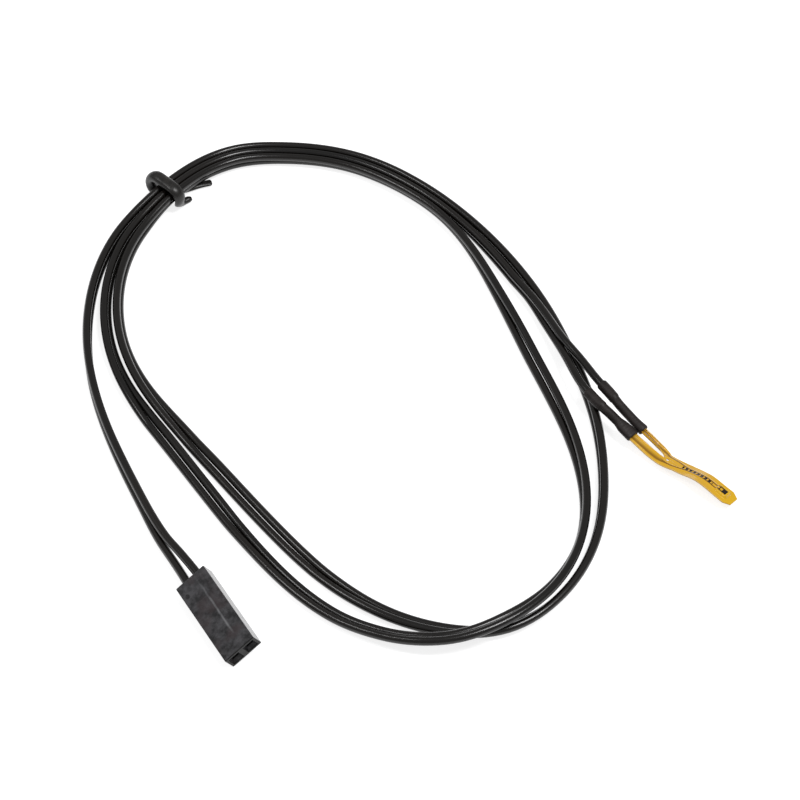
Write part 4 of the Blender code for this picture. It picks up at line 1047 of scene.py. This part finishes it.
plugLook = {
    "dark": "151517",
    "pale": "454447",
    "warm": "382D2F",
    "cloudSize": 1.4,
    "stainSize": 3.1,
    "wanderSize": 2.4,
    "grainSize": 0.09,          # coarser than the real one, so that it shows
    "stainShade": 0.6,
    # A painted highlight along the top face
    "highlightHex": "6E6E70",
    "streakAcross": 0.71,       # from the middle of the top face
    "streakWander": 0.2,
    "streakCore": 0.04,
    "streakEdge": 0.2,
    "streakFrom": -6.4,
    "streakRise": 5.5,
    "streakTo": 4.6,
    "streakFall": 1.5,
    "dimpleShadeHex": "0E0E10",
    "pinAhead": -4.7,
    "pinAcross": -1.74,
    "pinRadius": 0.42,
    "pinCore": 0.6,             # share of the radius that is dark before it fades
    "pinShade": 0.85,
    "frontShadeHex": "0E0E0B",
    "frontFrom": 0.2,           # behind the front face
    "frontTo": 0.06,
    "frontShade": 0.85,
    "coat": 0.9,
    "frontCoat": 0.25,
}


def plugMaterial(look):
    # Injection moulded nylon: near black with cloudy flow marks, glossy at a flat angle and duller on its
    # front face. Painted shade darkens the front face and the dimple of an ejector pin, and a painted
    # highlight runs along the top
    material, tree, shader = newMaterial("mouldedNylon", Specular_IOR_Level=0.1, Coat_Weight=look["coat"],
                                         Coat_Roughness=0.12)
    place = addNode(tree, "TexCoord", output="Object")
    turned = Matrix((plugAhead, plugAcross, plugTop)).transposed().to_euler()
    inPlug = addNode(tree, "Mapping", {"Vector": place, "Location": tuple(plugCentre),
                                       "Rotation": tuple(turned)}, vector_type="TEXTURE")
    parts = addNode(tree, "SeparateXYZ", [inPlug]).node.outputs
    ahead, across = parts["X"], parts["Y"]
    clouds = addNode(tree, "TexNoise", {"Vector": place, "Scale": 1.0 / (look["cloudSize"] * mm),
                                        "Detail": 4.0, "Roughness": 0.65})
    stains = addNode(tree, "TexNoise", {"Vector": place, "Scale": 1.0 / (look["stainSize"] * mm),
                                        "Detail": 2.0})
    cloudy = addNode(tree, "MapRange", [clouds, 0.38, 0.64])
    colour = addNode(tree, "Mix", {0: cloudy, 6: linear(look["dark"]), 7: linear(look["pale"])}, 2,
                     data_type="RGBA")
    stained = addNode(tree, "MapRange", [stains, 0.5, 0.66, 0.0, look["stainShade"]])
    colour = addNode(tree, "Mix", {0: stained, 6: colour, 7: linear(look["warm"])}, 2, data_type="RGBA")

    # Painted highlight: a pale line beside the middle that wanders a little, fades at both ends and is broken
    # by the clouds
    drift = addNode(tree, "TexNoise", {"Vector": place, "Scale": 1.0 / (look["wanderSize"] * mm),
                                       "Detail": 1.0})
    wander = look["streakWander"] * mm
    drift = addNode(tree, "MapRange", [drift, 0.0, 1.0, -wander, wander])
    aside = addNode(tree, "Math", [across, drift], operation="ADD")
    aside = addNode(tree, "Math", [aside, look["streakAcross"] * mm], operation="SUBTRACT")
    aside = addNode(tree, "Math", [aside], operation="ABSOLUTE")
    paintedHighlight = addNode(tree, "MapRange", [aside, look["streakCore"] * mm, look["streakEdge"] * mm, 1.0, 0.0])
    rising = addNode(tree, "MapRange", [ahead, look["streakFrom"] * mm,
                                        (look["streakFrom"] + look["streakRise"]) * mm])
    falling = addNode(tree, "MapRange", [ahead, look["streakTo"] * mm,
                                         (look["streakTo"] - look["streakFall"]) * mm])
    broken = addNode(tree, "MapRange", [clouds, 0.3, 0.6, 0.3, 1.0])
    for factor in (rising, falling, broken):
        paintedHighlight = addNode(tree, "Math", [paintedHighlight, factor], operation="MULTIPLY")
    colour = addNode(tree, "Mix", {0: paintedHighlight, 6: colour, 7: linear(look["highlightHex"])}, 2, data_type="RGBA")

    # Painted shade in an ejector pin's dimple: a soft dark disc
    toPin = addNode(tree, "Math", [ahead, look["pinAhead"] * mm], operation="SUBTRACT")
    besidePin = addNode(tree, "Math", [across, look["pinAcross"] * mm], operation="SUBTRACT")
    fromPin = addNode(tree, "CombineXYZ", [toPin, besidePin])
    fromPin = addNode(tree, "VectorMath", [fromPin], "Value", operation="LENGTH")
    radius = look["pinRadius"] * mm
    mark = addNode(tree, "MapRange", [fromPin, radius * look["pinCore"], radius, look["pinShade"], 0.0])
    colour = addNode(tree, "Mix", {0: mark, 6: colour, 7: linear(look["dimpleShadeHex"])}, 2, data_type="RGBA")

    # Painted shade darkens the front face and its mouths; they are also duller
    halfLength = plug["length"] / 2.0
    front = addNode(tree, "MapRange", [ahead, (halfLength - look["frontFrom"]) * mm,
                                       (halfLength - look["frontTo"]) * mm, 0.0, look["frontShade"]])
    colour = addNode(tree, "Mix", {0: front, 6: colour, 7: linear(look["frontShadeHex"])}, 2, data_type="RGBA")
    tree.links.new(colour, shader.inputs["Base Color"])
    coat = addNode(tree, "MapRange", [front, 0.0, look["frontShade"], look["coat"], look["frontCoat"]])
    tree.links.new(coat, shader.inputs["Coat Weight"])
    tree.links.new(addNode(tree, "MapRange", [clouds, 0.3, 0.7, 0.45, 0.33]), shader.inputs["Roughness"])
    grain = addNode(tree, "TexNoise", {"Vector": place, "Scale": 1.0 / (look["grainSize"] * mm),
                                       "Detail": 2.0})
    bump = addNode(tree, "Bump", {"Height": grain, "Distance": 0.00001, "Strength": 0.6})
    tree.links.new(bump, shader.inputs["Normal"])
    return material


def metalMaterial(name, dark, pale, roughness, size):
    # Metal with faint drawn or flowed marks of about size metres
    material, tree, shader = newMaterial(name, Metallic=1.0, Roughness=roughness)
    place = addNode(tree, "TexCoord", output="Object")
    marks = addNode(tree, "TexNoise", {"Vector": place, "Scale": 1.0 / size, "Detail": 3.0})
    paler = addNode(tree, "MapRange", [marks, 0.3, 0.7])
    colour = addNode(tree, "Mix", {0: paler, 6: linear(dark), 7: linear(pale)}, 2, data_type="RGBA")
    tree.links.new(colour, shader.inputs["Base Color"])
    bump = addNode(tree, "Bump", {"Height": marks, "Distance": 0.00001, "Strength": 0.5})
    tree.links.new(bump, shader.inputs["Normal"])
    return material


def chipMaterial():
    # Sawn thermistor ceramic under a thin brown glaze: dark, speckled and glossy
    material, tree, shader = newMaterial("glazedCeramicChip", Roughness=0.3, IOR=1.55)
    place = addNode(tree, "TexCoord", output="Object")
    specks = addNode(tree, "TexNoise", {"Vector": place, "Scale": 1.0 / 0.00012, "Detail": 3.0})
    paler = addNode(tree, "MapRange", [specks, 0.3, 0.7])
    colour = addNode(tree, "Mix", {0: paler, 6: linear("1E140C"), 7: linear("3A281A")}, 2, data_type="RGBA")
    tree.links.new(colour, shader.inputs["Base Color"])
    return material


dress(["plug_housing"], plugMaterial(plugLook))
dress(["terminal_a", "terminal_b"], metalMaterial("tinnedBronzeStrip", "A9A294", "C9C3B5", 0.32, 0.0006))
dress(["core_a_plug", "core_b_plug", "core_a_head", "core_b_head"],
      metalMaterial("tinnedCopperStrands", "B7B2A8", "D2CEC6", 0.38, 0.0003))
dress(["solder_a", "solder_b"], metalMaterial("flowedSolder", "9C9C9E", "C2C2C4", 0.3, 0.0005))
dress(["lead_a", "lead_b"], metalMaterial("rolledCopperLead", "8A5A24", "B07C3C", 0.35, 0.0008))
dress(["thermistor_chip"], chipMaterial())
print("finishes set")
